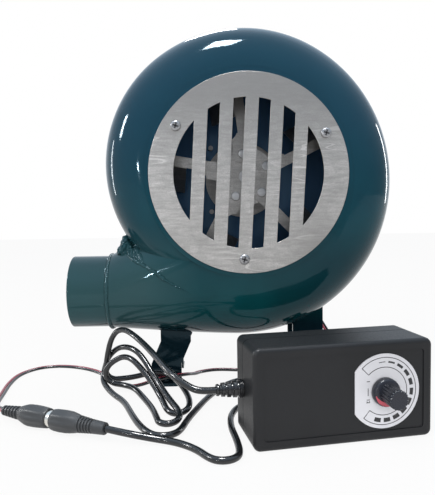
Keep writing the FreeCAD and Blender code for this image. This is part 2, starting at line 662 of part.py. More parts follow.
def build_end_bell(inner_r):
    """Moulded end cap with the rear bearing, brushes, holders and terminals."""
    back = MOTOR_BACK + END_BELL_LENGTH
    boss_r = BEARING_R + CAN_WALL
    bell = ring_y(MOTOR_R, inner_r, MOTOR_BACK, back - END_BELL_T).fuse([
        along_y(MOTOR_R, back - END_BELL_T, back), along_y(boss_r, back, back + REAR_BOSS_H)]).removeSplitter()
    bell = soften(bell, 1.5, lambda m, e: abs(m.y - back) < 0.01 and abs(e.BoundBox.XLength - 2 * MOTOR_R) < 0.01)
    tab_z = TERMINAL_W / 2
    cuts = [along_y(BEARING_R + SEAT, back - END_BELL_T - 1, back - END_BELL_T + BEARING_W)]
    terminals = []
    holders = []
    brushes = []
    commutator_middle = MOTOR_BACK + COMMUTATOR_LENGTH / 2 - 3.0
    for side in (-1, 1):
        x = side * TERMINAL_X
        low = V(x - TERMINAL_T / 2, back - END_BELL_T - 1, -tab_z)
        high = V(x + TERMINAL_T / 2, back + TERMINAL_REACH, tab_z)
        terminals.append(box(low, high))
        cuts.append(box(low - V(SEAT, 1, SEAT), high + V(SEAT, 1, SEAT)))
        inner = COMMUTATOR_R + 0.1
        x0, x1 = sorted((side * inner, side * (inner + BRUSH_LENGTH)))
        y0 = commutator_middle - BRUSH_W / 2
        brushes.append(box(V(x0, y0, -BRUSH_H / 2), V(x1, y0 + BRUSH_W, BRUSH_H / 2)))
        x0, x1 = sorted((side * (inner + 1.5), side * inner_r))
        sleeve = box(V(x0, y0 - HOLDER_T, -BRUSH_H / 2 - HOLDER_T), V(x1, back - END_BELL_T, BRUSH_H / 2 + HOLDER_T))
        channel = box(V(x0 - 9, y0 - SEAT, -BRUSH_H / 2 - SEAT), V(x1 + 9, y0 + BRUSH_W + SEAT, BRUSH_H / 2 + SEAT))
        slot = cuts[-1].copy()
        holders.append(sleeve.cut([channel, slot]).common(along_y(inner_r - SEAT, 0, back)))
    save("motor_end_bell", bell.cut(cuts), at_fan)
    save("motor_terminals", Part.makeCompound(terminals), at_fan)
    save("brush_holders", Part.makeCompound([max(h.Solids, key=lambda s: s.Volume) for h in holders]), at_fan)
    save("motor_brushes", Part.makeCompound(brushes), at_fan)
    rear = back - END_BELL_T + BEARING_W
    save("rear_bearing", ring_y(BEARING_R, SHAFT_R + RUN, rear - BEARING_W, rear), at_fan)


def build_armature():
    """Shaft, slotted core, windings and commutator."""
    back = MOTOR_BACK + END_BELL_LENGTH - END_BELL_T + BEARING_W
    save("motor_shaft", along_y(SHAFT_R, MOTOR_FACE - SHAFT_REACH, back - RUN), at_fan)
    start = magnet_start() + (MAGNET_LENGTH - CORE_LENGTH) / 2
    core = ring_y(CORE_R, SHAFT_R + SEAT, start, start + CORE_LENGTH)
    slot = box(V(CORE_R - SLOT_DEPTH, start - 1, -SLOT_W / 2), V(CORE_R - 1.2, start + CORE_LENGTH + 1, SLOT_W / 2))
    mouth = box(V(CORE_R - 3, start - 1, -0.8), V(CORE_R + 1, start + CORE_LENGTH + 1, 0.8))
    slots = [turn_y(slot.fuse(mouth), 360.0 / CORE_SLOTS * i) for i in range(CORE_SLOTS)]
    save("armature_core", core.cut(slots), at_fan)
    coil = box(V(CORE_R - SLOT_DEPTH + SEAT, start, -SLOT_W / 2 + SEAT),
               V(CORE_R - 1.2 - SEAT, start + CORE_LENGTH, SLOT_W / 2 - SEAT))
    coils = [turn_y(coil, 360.0 / CORE_SLOTS * i) for i in range(CORE_SLOTS)]
    front = ring_y(WINDING_R, COMMUTATOR_R, start - WINDING_H, start)
    rear = ring_y(WINDING_R, COMMUTATOR_R, start + CORE_LENGTH, start + CORE_LENGTH + WINDING_H)
    save("armature_windings", front.fuse([rear] + coils).removeSplitter(), at_fan)
    first = MOTOR_BACK - 3.0
    save("commutator", ring_y(COMMUTATOR_R, SHAFT_R + SEAT, first, first + COMMUTATOR_LENGTH), at_fan)


# ---- impeller -----------------------------------------------------------------------
def blade():
    """One sheet blade along +X: riveted foot, neck with a gullet, web and folded paddle."""
    y1 = -DISC_FRONT
    y0 = y1 - BLADE_T
    foot = box(V(FOOT_INNER_R, y0, -NECK_HALF_W), V(FOOT_OUTER_R, y1, NECK_HALF_W))
    web = box(V(FOOT_OUTER_R - 1, y0, -NECK_HALF_W), V(IMPELLER_R, y1, WEB_TOP))
    gullet = rod(GULLET_R, V(FOOT_OUTER_R + 4, y0 - 1, WEB_TOP + GULLET_R), V(FOOT_OUTER_R + 4, y1 + 1, WEB_TOP + GULLET_R))
    flat = foot.fuse(web).cut([gullet, rod(RIVET_R + SEAT, V(RIVET_CIRCLE_R, y0 - 1, 0), V(RIVET_CIRCLE_R, y1 + 1, 0))])
    fold = math.radians(PADDLE_FOLD)
    across = V(0, math.sin(fold), math.cos(fold))
    thick = V(0, -math.cos(fold), math.sin(fold)) * BLADE_T
    root = V(PADDLE_START_R, y1, WEB_TOP - 0.2)
    corners = [root, root + across * PADDLE_W, root + across * PADDLE_W + thick, root + thick]
    paddle = Part.Face(Part.makePolygon(corners + corners[:1])).extrude(V(IMPELLER_R - PADDLE_START_R, 0, 0))
    filler = rod(BLADE_T, V(PADDLE_START_R, y1, WEB_TOP - 0.2), V(IMPELLER_R, y1, WEB_TOP - 0.2))
    filler = filler.common(box(V(0, y0, WEB_TOP - 0.2 - BLADE_T), V(2 * IMPELLER_R, y1, WEB_TOP + BLADE_T)))
    return flat.fuse([paddle, filler]).removeSplitter()


def build_impeller():
    """Hub on the motor's shaft, disc, five blades and their rivets."""
    disc = ring_y(DISC_R, SPIGOT_R + SEAT, -DISC_FRONT, HUB_FRONT)
    rivets = []
    shape = blade()
    for number, angle in enumerate(BLADE_ANGLES, 1):
        spot = polar(RIVET_CIRCLE_R, angle)
        disc = disc.cut(along_y(RIVET_R + SEAT, -DISC_FRONT - 1, HUB_FRONT + 1, spot.x, spot.z))
        front = -DISC_FRONT - BLADE_T
        pin = along_y(RIVET_R, front, HUB_FRONT, spot.x, spot.z)
        head = Part.makeCylinder(RIVET_HEAD_R, RIVET_HEAD_H, V(spot.x, front, spot.z), V(0, -1, 0))
        rims = [e for e in head.Edges if abs(e.CenterOfMass.y - front + RIVET_HEAD_H) < 1e-6]
        tail = along_y(RIVET_HEAD_R * 0.8, HUB_FRONT, HUB_FRONT + 0.8, spot.x, spot.z)
        rivets.append(head.makeFillet(RIVET_HEAD_H * 0.7, rims[:1]).fuse([pin, tail]))
        save("impeller_blade_%d" % number, turn_y(shape, angle), at_fan)
    save("impeller_disc", disc, at_fan)
    save("blade_rivets", Part.makeCompound(rivets), at_fan)

    hub_back = HUB_FRONT + HUB_LENGTH
    hub = along_y(HUB_R, HUB_FRONT, hub_back).fuse([
        along_y(HUB_FLANGE_R, HUB_FRONT, HUB_FRONT + HUB_FLANGE_T),
        along_y(SPIGOT_R, -DISC_FRONT - BLADE_T, HUB_FRONT)]).removeSplitter()
    shaft_end = MOTOR_FACE - SHAFT_REACH
    screw_y = (shaft_end + hub_back) / 2
    bore = along_y(SHAFT_R + SEAT, shaft_end - 1, hub_back + 1)
    screw_hole = rod(SET_SCREW_R + SEAT, V(0, screw_y, SHAFT_R + 0.5), V(0, screw_y, HUB_R + 1))
    tails = [along_y(RIVET_HEAD_R * 0.8 + SEAT, HUB_FRONT, HUB_FRONT + 1, polar(RIVET_CIRCLE_R, a).x,
                     polar(RIVET_CIRCLE_R, a).z) for a in BLADE_ANGLES]
    save("impeller_hub", hub.cut([bore, screw_hole] + tails), at_fan)
    socket = Part.makeBox(1.6, 1.6, 1.6, V(-0.8, screw_y - 0.8, HUB_R - 1.2))
    screw = rod(SET_SCREW_R, V(0, screw_y, SHAFT_R + 0.5), V(0, screw_y, HUB_R - 0.2))
    save("hub_set_screw", screw.cut(socket), at_fan)


# ---- power adapter ------------------------------------------------------------------
def case_block(inset):
    """The adapter's outer block, or its hollow where inset is the wall."""
    low = V(inset, inset, inset)
    high = V(ADAPTER_LENGTH - inset, ADAPTER_DEPTH - inset, ADAPTER_HEIGHT - inset)
    block = box(low, high)
    block = soften(block, CASE_EDGE_R - inset / 2, lambda m, e: abs(m.y - ADAPTER_DEPTH / 2) < 0.01)
    if inset:
        return block
    return soften(block, CASE_RIM_R, lambda m, e: min(abs(m.y), abs(m.y - ADAPTER_DEPTH)) < 0.01)


def boss_places():
    """The four screw bosses, near the case's corners."""
    return [(x, z) for x in (BOSS_INSET, ADAPTER_LENGTH - BOSS_INSET) for z in (BOSS_INSET, ADAPTER_HEIGHT - BOSS_INSET)]


def build_case():
    """Front and rear shells of the adapter, its screws and its wall-plug pins."""
    shell = case_block(0.0).cut(case_block(ADAPTER_WALL))
    reach = 2 * ADAPTER_LENGTH
    front = shell.common(box(V(-reach, -reach, -reach), V(reach, ADAPTER_SPLIT, reach)))
    rear = shell.common(box(V(-reach, ADAPTER_SPLIT, -reach), V(reach, reach, reach)))
    label = box(V(LABEL_INSET, -1, LABEL_INSET), V(ADAPTER_LENGTH - LABEL_INSET, LABEL_DEPTH, ADAPTER_HEIGHT - LABEL_INSET))
    label = soften(label, 2.0, lambda m, e: abs(m.y - (LABEL_DEPTH - 1) / 2) < 0.01)
    inner_front = ADAPTER_WALL - 0.5
    inner_rear = ADAPTER_DEPTH - ADAPTER_WALL + 0.5
    slab = box(V(-reach, ADAPTER_SPLIT - PARTING_GROOVE, -reach), V(reach, ADAPTER_SPLIT, reach))
    groove = case_block(0.0).common(slab).cut(case_block(PARTING_GROOVE))
    front_bosses = [rod(BOSS_R, V(x, inner_front, z), V(x, ADAPTER_SPLIT - GAP, z)) for x, z in boss_places()]
    rear_bosses = [rod(BOSS_R, V(x, ADAPTER_SPLIT, z), V(x, inner_rear, z)) for x, z in boss_places()]
    gland_hole = rod(GLAND_ROOT_R - 1.0 + SEAT, V(-1, ADAPTER_SPLIT, DIAL_Z), V(ADAPTER_WALL + 1, ADAPTER_SPLIT, DIAL_Z))
    screw_bottom = ADAPTER_DEPTH - CASE_SCREW_HEAD_H
    cuts = [label, groove, gland_hole, rod(POT_BUSH_R + SEAT, V(DIAL_X, -1, DIAL_Z), V(DIAL_X, ADAPTER_WALL + 1, DIAL_Z))]
    cuts += [rod(CASE_SCREW_R + SEAT, V(x, screw_bottom - CASE_SCREW_LENGTH, z), V(x, ADAPTER_SPLIT + 1, z))
             for x, z in boss_places()]
    save("adapter_front_shell", front.fuse(front_bosses).removeSplitter().cut(cuts), at_adapter)

    rear_cuts = [gland_hole]
    screws = []
    for x, z in boss_places():
        rear_cuts.append(rod(CASE_SCREW_R + SEAT, V(x, ADAPTER_SPLIT - 1, z), V(x, ADAPTER_DEPTH + 1, z)))
        rear_cuts.append(rod(CASE_SCREW_HEAD_R + SEAT, V(x, screw_bottom, z), V(x, ADAPTER_DEPTH + 1, z)))
        screws.append(pan_screw(V(x, screw_bottom, z), V(0, -1, 0), CASE_SCREW_R, CASE_SCREW_LENGTH - GAP,
                                CASE_SCREW_HEAD_R, CASE_SCREW_HEAD_H - 0.2))
    pins = []
    for side in (-1, 1):
        x = ADAPTER_LENGTH / 2 + side * BLADE_PIN_PITCH / 2
        low = V(x - BLADE_PIN_T / 2, ADAPTER_DEPTH - ADAPTER_WALL - 2.0, ADAPTER_HEIGHT / 2 - BLADE_PIN_W / 2)
        high = V(x + BLADE_PIN_T / 2, ADAPTER_DEPTH + BLADE_PIN_LENGTH, ADAPTER_HEIGHT / 2 + BLADE_PIN_W / 2)
        pin = box(low, high)
        pins.append(soften(pin, 0.6, lambda m, e: m.y > ADAPTER_DEPTH + BLADE_PIN_LENGTH - 0.01))
        rear_cuts.append(box(low - V(SEAT, ADAPTER_WALL, SEAT), high + V(SEAT, 0, SEAT)))
    save("adapter_rear_shell", rear.fuse(rear_bosses).removeSplitter().cut(rear_cuts), at_adapter)
    save("case_screws", Part.makeCompound(screws), at_adapter)
    save("mains_pins", Part.makeCompound(pins), at_adapter)


def board_front():
    """Front face of the circuit board, behind the adapter's front face."""
    return ADAPTER_DEPTH - ADAPTER_WALL - BOARD_BACK - BOARD_T


def build_electronics():
    """Circuit board and the larger pieces that it carries."""
    front = board_front()
    clear = ADAPTER_WALL + BOARD_GAP
    board = box(V(clear, front, ADAPTER_WALL + GAP), V(ADAPTER_LENGTH - clear, front + BOARD_T,
                                                       ADAPTER_HEIGHT - ADAPTER_WALL - GAP))
    holes = [rod(BOSS_R + GAP, V(x, front - 1, z), V(x, front + BOARD_T + 1, z)) for x, z in boss_places()]
    save("circuit_board", board.cut(holes), at_adapter)
    middle = ADAPTER_HEIGHT / 2
    core = box(V(TRANSFORMER_X - TRANSFORMER_LENGTH / 2, front - TRANSFORMER_DEPTH, middle - TRANSFORMER_HEIGHT / 2),
               V(TRANSFORMER_X + TRANSFORMER_LENGTH / 2, front, middle + TRANSFORMER_HEIGHT / 2))
    core = soften(core, 1.0, lambda m, e: abs(m.y - front + TRANSFORMER_DEPTH / 2) < 0.01)
    save("transformer", core, at_adapter)
    cans = []
    for z in (middle - CAPACITOR_SPACING / 2, middle + CAPACITOR_SPACING / 2):
        can = rod(CAPACITOR_R, V(CAPACITOR_X, front, z), V(CAPACITOR_X, front - CAPACITOR_LENGTH, z))
        cans.append(soften(can, 0.8, lambda m, e: abs(m.y - front + CAPACITOR_LENGTH) < 0.01))
    save("capacitors", Part.makeCompound(cans), at_adapter)
    low = middle - ((FINS - 1) * FIN_PITCH + FIN_W) / 2
    sink = box(V(HEAT_SINK_X, front - HEAT_SINK_DEPTH, low), V(HEAT_SINK_X + HEAT_SINK_T, front, 2 * middle - low))
    grooves = []
    for fin in range(FINS - 1):
        z = low + FIN_W + FIN_PITCH * fin
        grooves.append(box(V(HEAT_SINK_X - 1, front - HEAT_SINK_DEPTH - 1, z),
                           V(HEAT_SINK_X + HEAT_SINK_T / 2, front - 2, z + FIN_PITCH - FIN_W)))
    save("heat_sink", sink.cut(grooves), at_adapter)


def build_dial():
    """Dial plate, potentiometer and the knob that turns with its shaft."""
    face = LABEL_DEPTH
    plate_front = face - DIAL_T
    disc = rod(DIAL_R, V(DIAL_X, plate_front, DIAL_Z), V(DIAL_X, face, DIAL_Z))
    keep = box(V(DIAL_X - DIAL_FLAT, plate_front - 1, DIAL_Z - DIAL_R - 1), V(DIAL_X + DIAL_R + 1, face + 1, DIAL_Z + DIAL_R + 1))
    hole = rod(POT_BUSH_R + SEAT, V(DIAL_X, plate_front - 1, DIAL_Z), V(DIAL_X, face + 1, DIAL_Z))
    save("dial_plate", disc.common(keep).cut(hole), at_adapter)

    bush_front = plate_front - POT_NUT_T
    pot = rod(POT_R, V(DIAL_X, ADAPTER_WALL, DIAL_Z), V(DIAL_X, ADAPTER_WALL + POT_DEPTH, DIAL_Z))
    pot = pot.fuse(rod(POT_BUSH_R, V(DIAL_X, bush_front, DIAL_Z), V(DIAL_X, ADAPTER_WALL, DIAL_Z)))
    pot = pot.cut(rod(POT_SHAFT_R + RUN, V(DIAL_X, bush_front - 1, DIAL_Z), V(DIAL_X, ADAPTER_WALL + POT_DEPTH - 1, DIAL_Z)))
    save("potentiometer", pot, at_adapter)
    nut = Part.Face(Part.makePolygon([V(DIAL_X + POT_NUT_R * math.cos(math.radians(60 * i)), plate_front,
                                        DIAL_Z + POT_NUT_R * math.sin(math.radians(60 * i))) for i in range(7)]))
    nut = nut.extrude(V(0, -POT_NUT_T, 0)).cut(hole.copy().fuse(
        rod(POT_BUSH_R + SEAT, V(DIAL_X, bush_front - 1, DIAL_Z), V(DIAL_X, plate_front, DIAL_Z))))
    save("potentiometer_nut", nut, at_adapter)
    build_knob(plate_front)


def build_knob(plate_front):
    """Tapered, fluted knob with a coloured facet, on the potentiometer's shaft."""
    back = plate_front - GAP
    tip = back - KNOB_LENGTH
    centre = V(DIAL_X, back, DIAL_Z)
    cone = Part.makeCone(KNOB_R, KNOB_TIP_R, KNOB_LENGTH, centre, V(0, -1, 0))
    cone = soften(cone, 0.8, lambda m, e: abs(m.y - tip) < 0.01)
    slope = math.atan2(KNOB_R - KNOB_TIP_R, KNOB_LENGTH)
    flutes = []
    for number in range(KNOB_FLUTES):
        out = polar(1, 360.0 / KNOB_FLUTES * (number + 0.5))
        start = centre + out * (KNOB_R + 0.45) + V(0, 1, 0)
        heading = V(0, -math.cos(slope), 0) - out * math.sin(slope)
        flutes.append(Part.makeCylinder(FLUTE_R, KNOB_LENGTH + 4, start + heading * 1.5, heading))
    out = polar(1, FACET_ANGLE)
    side = out.cross(V(0, 1, 0))
    low = centre + out * KNOB_R + V(0, -FACET_START, 0)
    run = out * (-(KNOB_R - KNOB_TIP_R) - FACET_TIP_DEPTH) + V(0, -FACET_LENGTH, 0)
    lift = run.cross(side).normalize()
    if lift.dot(out) < 0:
        lift = -lift
    corners = [low + side * (2 * KNOB_R * a) + run * b for a, b in ((-1, -0.5), (1, -0.5), (1, 1), (-1, 1))]
    facet_face = Part.Face(Part.makePolygon(corners + corners[:1]))
    bed = facet_face.extrude(lift * (2 * KNOB_R))
    step = facet_face.copy()
    step.translate(lift * INLAY_T)
    above = step.extrude(lift * (2 * KNOB_R))
    core = Part.makeCone(KNOB_R - 0.5, KNOB_TIP_R - 0.5, KNOB_LENGTH, centre, V(0, -1, 0))
    bore = rod(POT_SHAFT_R + SEAT, V(DIAL_X, back + 1, DIAL_Z), V(DIAL_X, tip + 3.5, DIAL_Z))
    recess = rod(POT_NUT_R + GAP, V(DIAL_X, back + 1, DIAL_Z), V(DIAL_X, back - POT_NUT_T, DIAL_Z))
    inlay = core.common(bed).cut([above, bore])
    save("speed_knob", cone.cut(flutes + [bed, bore, recess]), at_adapter)
    save("knob_inlay", max(inlay.Solids, key=lambda solid: solid.Volume), at_adapter)
    inner_end = ADAPTER_WALL + POT_DEPTH - 1 - RUN
    save("potentiometer_shaft", rod(POT_SHAFT_R, V(DIAL_X, inner_end, DIAL_Z), V(DIAL_X, tip + 3.5, DIAL_Z)), at_adapter)


def build_gland():
    """Moulded strain relief at the adapter's left end; returns where its cord starts."""
    points = [(-ADAPTER_WALL - 1.5, 0), (-ADAPTER_WALL - 1.5, GLAND_ROOT_R), (-ADAPTER_WALL, GLAND_ROOT_R),
              (-ADAPTER_WALL, GLAND_ROOT_R - 1.0), (0, GLAND_ROOT_R - 1.0), (0, GLAND_ROOT_R)]
    step = GLAND_LENGTH / (GLAND_RIBS + 1)
    for rib in range(GLAND_RIBS):
        start = step * (rib + 0.6)
        radius = GLAND_ROOT_R + (GLAND_TIP_R - GLAND_ROOT_R) * start / GLAND_LENGTH
        points += [(start, radius), (start, radius - 0.9), (start + step * 0.35, radius - 0.9), (start + step * 0.35, radius - 0.1)]
    points += [(GLAND_LENGTH, GLAND_TIP_R), (GLAND_LENGTH, 0)]
    root = adapter_point(0, ADAPTER_SPLIT, DIAL_Z)
    tip = adapter_point(-GLAND_LENGTH, ADAPTER_SPLIT, DIAL_Z)
    save("cord_gland", turned_profile(points, root, tip - root))
    return tip


# ---- cords and connectors -----------------------------------------------------------
def cord(name, route, radius):
    """A cord along straight runs joined by tangent arcs; prints its smallest bend and its volume check."""
    points = [V(*point) for point in route]
    edges = []
    smallest = 1e9
    start = points[0]
    for before, corner, after in zip(points, points[1:], points[2:]):
        inward = corner - before
        outward = after - corner
        turn = inward.getAngle(outward)
        arc_r = 0.45 * min(inward.Length, outward.Length) / math.tan(turn / 2)
        trim = arc_r * math.tan(turn / 2)
        first = corner - inward.normalize() * trim
        last = corner + outward.normalize() * trim
        bisector = ((first + last) * 0.5 - corner).normalize()
        middle = corner + bisector * (arc_r / math.cos(turn / 2) - arc_r)
        edges.append(Part.makeLine(start, first))
        edges.append(Part.Arc(first, middle, last).toShape())
        start = last
        smallest = min(smallest, arc_r)
    edges.append(Part.makeLine(start, points[-1]))
    path = Part.Wire(edges)
    section = Part.Wire(Part.makeCircle(radius, points[0], points[1] - points[0]))
    shape = path.makePipeShell([section], True, False)
    ratio = shape.Volume / (math.pi * radius ** 2 * path.Length)
    print("%s: length %.0f mm, smallest bend radius %.1f mm, volume ratio %.4f" % (name, path.Length, smallest, ratio))
    save(name, shape)


def build_connectors():
    """The lead's jack and the adapter cord's plug, pushed together on the floor."""
    heading = (CONNECTOR_END - CONNECTOR_TAIL)
    total = heading.Length
    heading.normalize()
    neck = COLLAR_R - 0.6
    jack = [(0, 0), (0, 3.0), (3, 3.4)]
    for rib in range(3):
        x = 3.0 + 4.0 * rib
        jack += [(x + 1.5, 3.4 + 0.25 * rib), (x + 1.5, 2.7 + 0.25 * rib), (x + 3.0, 2.7 + 0.25 * rib), (x + 3.0, 3.6 + 0.25 * rib)]
    jack += [(16, 4.6), (20, CONNECTOR_R - 0.4), (22, CONNECTOR_R), (JACK_LENGTH - 2, CONNECTOR_R), (JACK_LENGTH, CONNECTOR_R - 0.8),
             (JACK_LENGTH, neck), (JACK_LENGTH - 8, neck), (JACK_LENGTH - 8, 0)]
    save("jack_housing", turned_profile(jack, CONNECTOR_TAIL, heading))
    plug_start = JACK_LENGTH + COLLAR_LENGTH
    collar = [(JACK_LENGTH - 8, 0), (JACK_LENGTH - 8, neck - SEAT), (JACK_LENGTH, neck - SEAT), (JACK_LENGTH, COLLAR_R),
              (plug_start - 0.02, COLLAR_R), (plug_start - 0.02, BARREL_R + SEAT), (JACK_LENGTH - 6, BARREL_R + SEAT),
              (JACK_LENGTH - 6, 0)]
    save("jack_collar", turned_profile(collar, CONNECTOR_TAIL, heading))
    plug = [(plug_start, 0), (plug_start, CONNECTOR_R - 1.0), (plug_start + 2, CONNECTOR_R), (plug_start + 10, CONNECTOR_R),
            (plug_start + 15, 5.2), (plug_start + 20, 4.6)]
    for rib in range(3):
        x = plug_start + 20 + PLUG_RIB_PITCH * rib
        r = 4.6 - 0.3 * rib
        plug += [(x + PLUG_RIB_PITCH * 0.4, r), (x + PLUG_RIB_PITCH * 0.4, r - 0.8),
                 (x + PLUG_RIB_PITCH * 0.8, r - 0.8), (x + PLUG_RIB_PITCH * 0.8, r - 0.1)]
    plug += [(total, 3.4), (total, 0)]
    save("plug_housing", turned_profile(plug, CONNECTOR_TAIL, heading))
    barrel = [(JACK_LENGTH - 5, 1.2), (JACK_LENGTH - 5, BARREL_R), (plug_start, BARREL_R), (plug_start, 1.2)]
    save("plug_barrel", turned_profile(barrel, CONNECTOR_TAIL, heading))


def beside(route, side):
    """One wire of the twin lead: the route's points moved sideways, level with the floor."""
    shifted = []
    for index, (x, y, z, half) in enumerate(route):
        before = route[max(index - 1, 0)]
        after = route[min(index + 1, len(route) - 1)]
        heading = V(after[0] - before[0], after[1] - before[1], 0).normalize()
        shifted.append((x - side * half * heading.y, y + side * half * heading.x, z))
    return shifted


def build_cords():
    """The motor's twin lead, the adapter's cord and its hank."""
    terminals = FAN + V(0, MOTOR_BACK + END_BELL_LENGTH + TERMINAL_REACH, 0)
    start = (terminals.x, terminals.y, terminals.z, TERMINAL_X)
    end = (CONNECTOR_TAIL.x, CONNECTOR_TAIL.y, CONNECTOR_TAIL.z, LEAD_R + GAP / 2)
    for side, name in ((-1, "red_lead"), (1, "black_lead")):
        cord(name, beside((start,) + LEAD_ROUTE + (end,), side), LEAD_R)
    tip = build_gland()
    cord("cord_to_hank", [tuple(tip)] + list(CORD_TO_HANK), CORD_R)
    cord("cord_to_plug", list(CORD_TO_PLUG) + [tuple(CONNECTOR_END)], CORD_R)

    base = [V(x, y, 0) for x, y in HANK_BASE]
    top = [HANK_TOP + (V(x, y, HANK_TOP.z) - HANK_TOP) * HANK_TAPER for x, y in HANK_BASE]
    hank = Part.makeLoft([Part.makePolygon(base + base[:1]), Part.makePolygon(top + top[:1])], True, True)
    corridor = box(V(-CORRIDOR_REACH, LEAD_CORRIDOR_Y, -1), V(0, 0, LEAD_CORRIDOR_H))
    hump = box(V(LEAD_HUMP_X, LEAD_CORRIDOR_Y, -1), V(0, 0, LEAD_HUMP_H))
    save("cord_hank", hank.cut([corridor, hump]))


def main():
    """Build every node and report anything that isn't a valid solid."""
    outer = build_housing()
    build_guard()
    build_legs(outer)
    build_motor()
    build_armature()
    build_impeller()
    build_case()
    build_electronics()
    build_dial()
    build_connectors()
    build_cords()
    for name, shape in NODES.items():
        if not shape.isValid() or not shape.Solids or shape.Volume <= 0:
            print("CHECK", name, shape.isValid(), len(shape.Solids), shape.Volume)
    print(len(NODES), "nodes")


main()
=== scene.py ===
"""Visual model of a small electric forge blower with its plug-in adapter."""
from __future__ import annotations

import json
import logging
import math
import sys
from dataclasses import dataclass
from enum import Enum
from typing import Callable, Iterator

import bmesh
import bpy
from mathutils import Matrix, Vector, noise
from mathutils.bvhtree import BVHTree

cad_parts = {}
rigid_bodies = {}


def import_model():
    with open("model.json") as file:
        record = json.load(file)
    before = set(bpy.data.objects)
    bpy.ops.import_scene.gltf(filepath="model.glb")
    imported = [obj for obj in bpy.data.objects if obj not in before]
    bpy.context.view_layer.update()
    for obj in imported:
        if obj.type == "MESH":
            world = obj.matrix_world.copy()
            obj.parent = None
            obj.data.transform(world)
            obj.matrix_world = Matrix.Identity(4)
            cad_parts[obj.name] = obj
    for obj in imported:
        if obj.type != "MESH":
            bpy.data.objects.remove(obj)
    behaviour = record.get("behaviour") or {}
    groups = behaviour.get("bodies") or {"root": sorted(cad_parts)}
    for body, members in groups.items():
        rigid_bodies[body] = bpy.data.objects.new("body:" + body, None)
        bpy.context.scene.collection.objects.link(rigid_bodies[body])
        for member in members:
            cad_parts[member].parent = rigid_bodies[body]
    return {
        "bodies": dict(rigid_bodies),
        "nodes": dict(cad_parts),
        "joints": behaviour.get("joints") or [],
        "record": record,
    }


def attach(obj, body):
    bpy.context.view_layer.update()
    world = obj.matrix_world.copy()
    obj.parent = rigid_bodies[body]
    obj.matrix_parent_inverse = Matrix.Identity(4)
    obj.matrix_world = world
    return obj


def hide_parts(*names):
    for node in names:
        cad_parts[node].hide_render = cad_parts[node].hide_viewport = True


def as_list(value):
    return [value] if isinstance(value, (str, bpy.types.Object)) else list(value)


LOG = logging.getLogger("blower")
MM = 0.001
MERGE = 1e-7                    # metres within which a turned shape's vertices are one
CAD_MERGE = 1e-6                # the same for the copy of a CAD node
COARSE = (0.35, 0.65)           # the span of a coarse noise that makes soft patches
FINE = (0.3, 0.7)               # the same for a fine noise
Pair = tuple[float, float]
Point = tuple[float, float, float]
Colour = tuple[float, float, float, float]
Node = bpy.types.Node
Socket = bpy.types.NodeSocket
Sockets = bpy.types.bpy_prop_collection
Mesh = bmesh.types.BMesh


# ---- small helpers ------------------------------------------------------------------
def metres(point: Point) -> Vector:
    """A point in millimetres as a vector in metres."""
    return Vector(point) * MM


def shift(point: Point) -> Matrix:
    """A move, in millimetres."""
    return Matrix.Translation(metres(point))


def turn(degrees: float, axis: str) -> Matrix:
    """A turn about an axis of the frame."""
    return Matrix.Rotation(math.radians(degrees), 4, axis)


def link(name: str, data: bpy.types.ID) -> bpy.types.Object:
    """A new object in the scene."""
    thing = bpy.data.objects.new(name, data)
    bpy.context.scene.collection.objects.link(thing)
    return thing


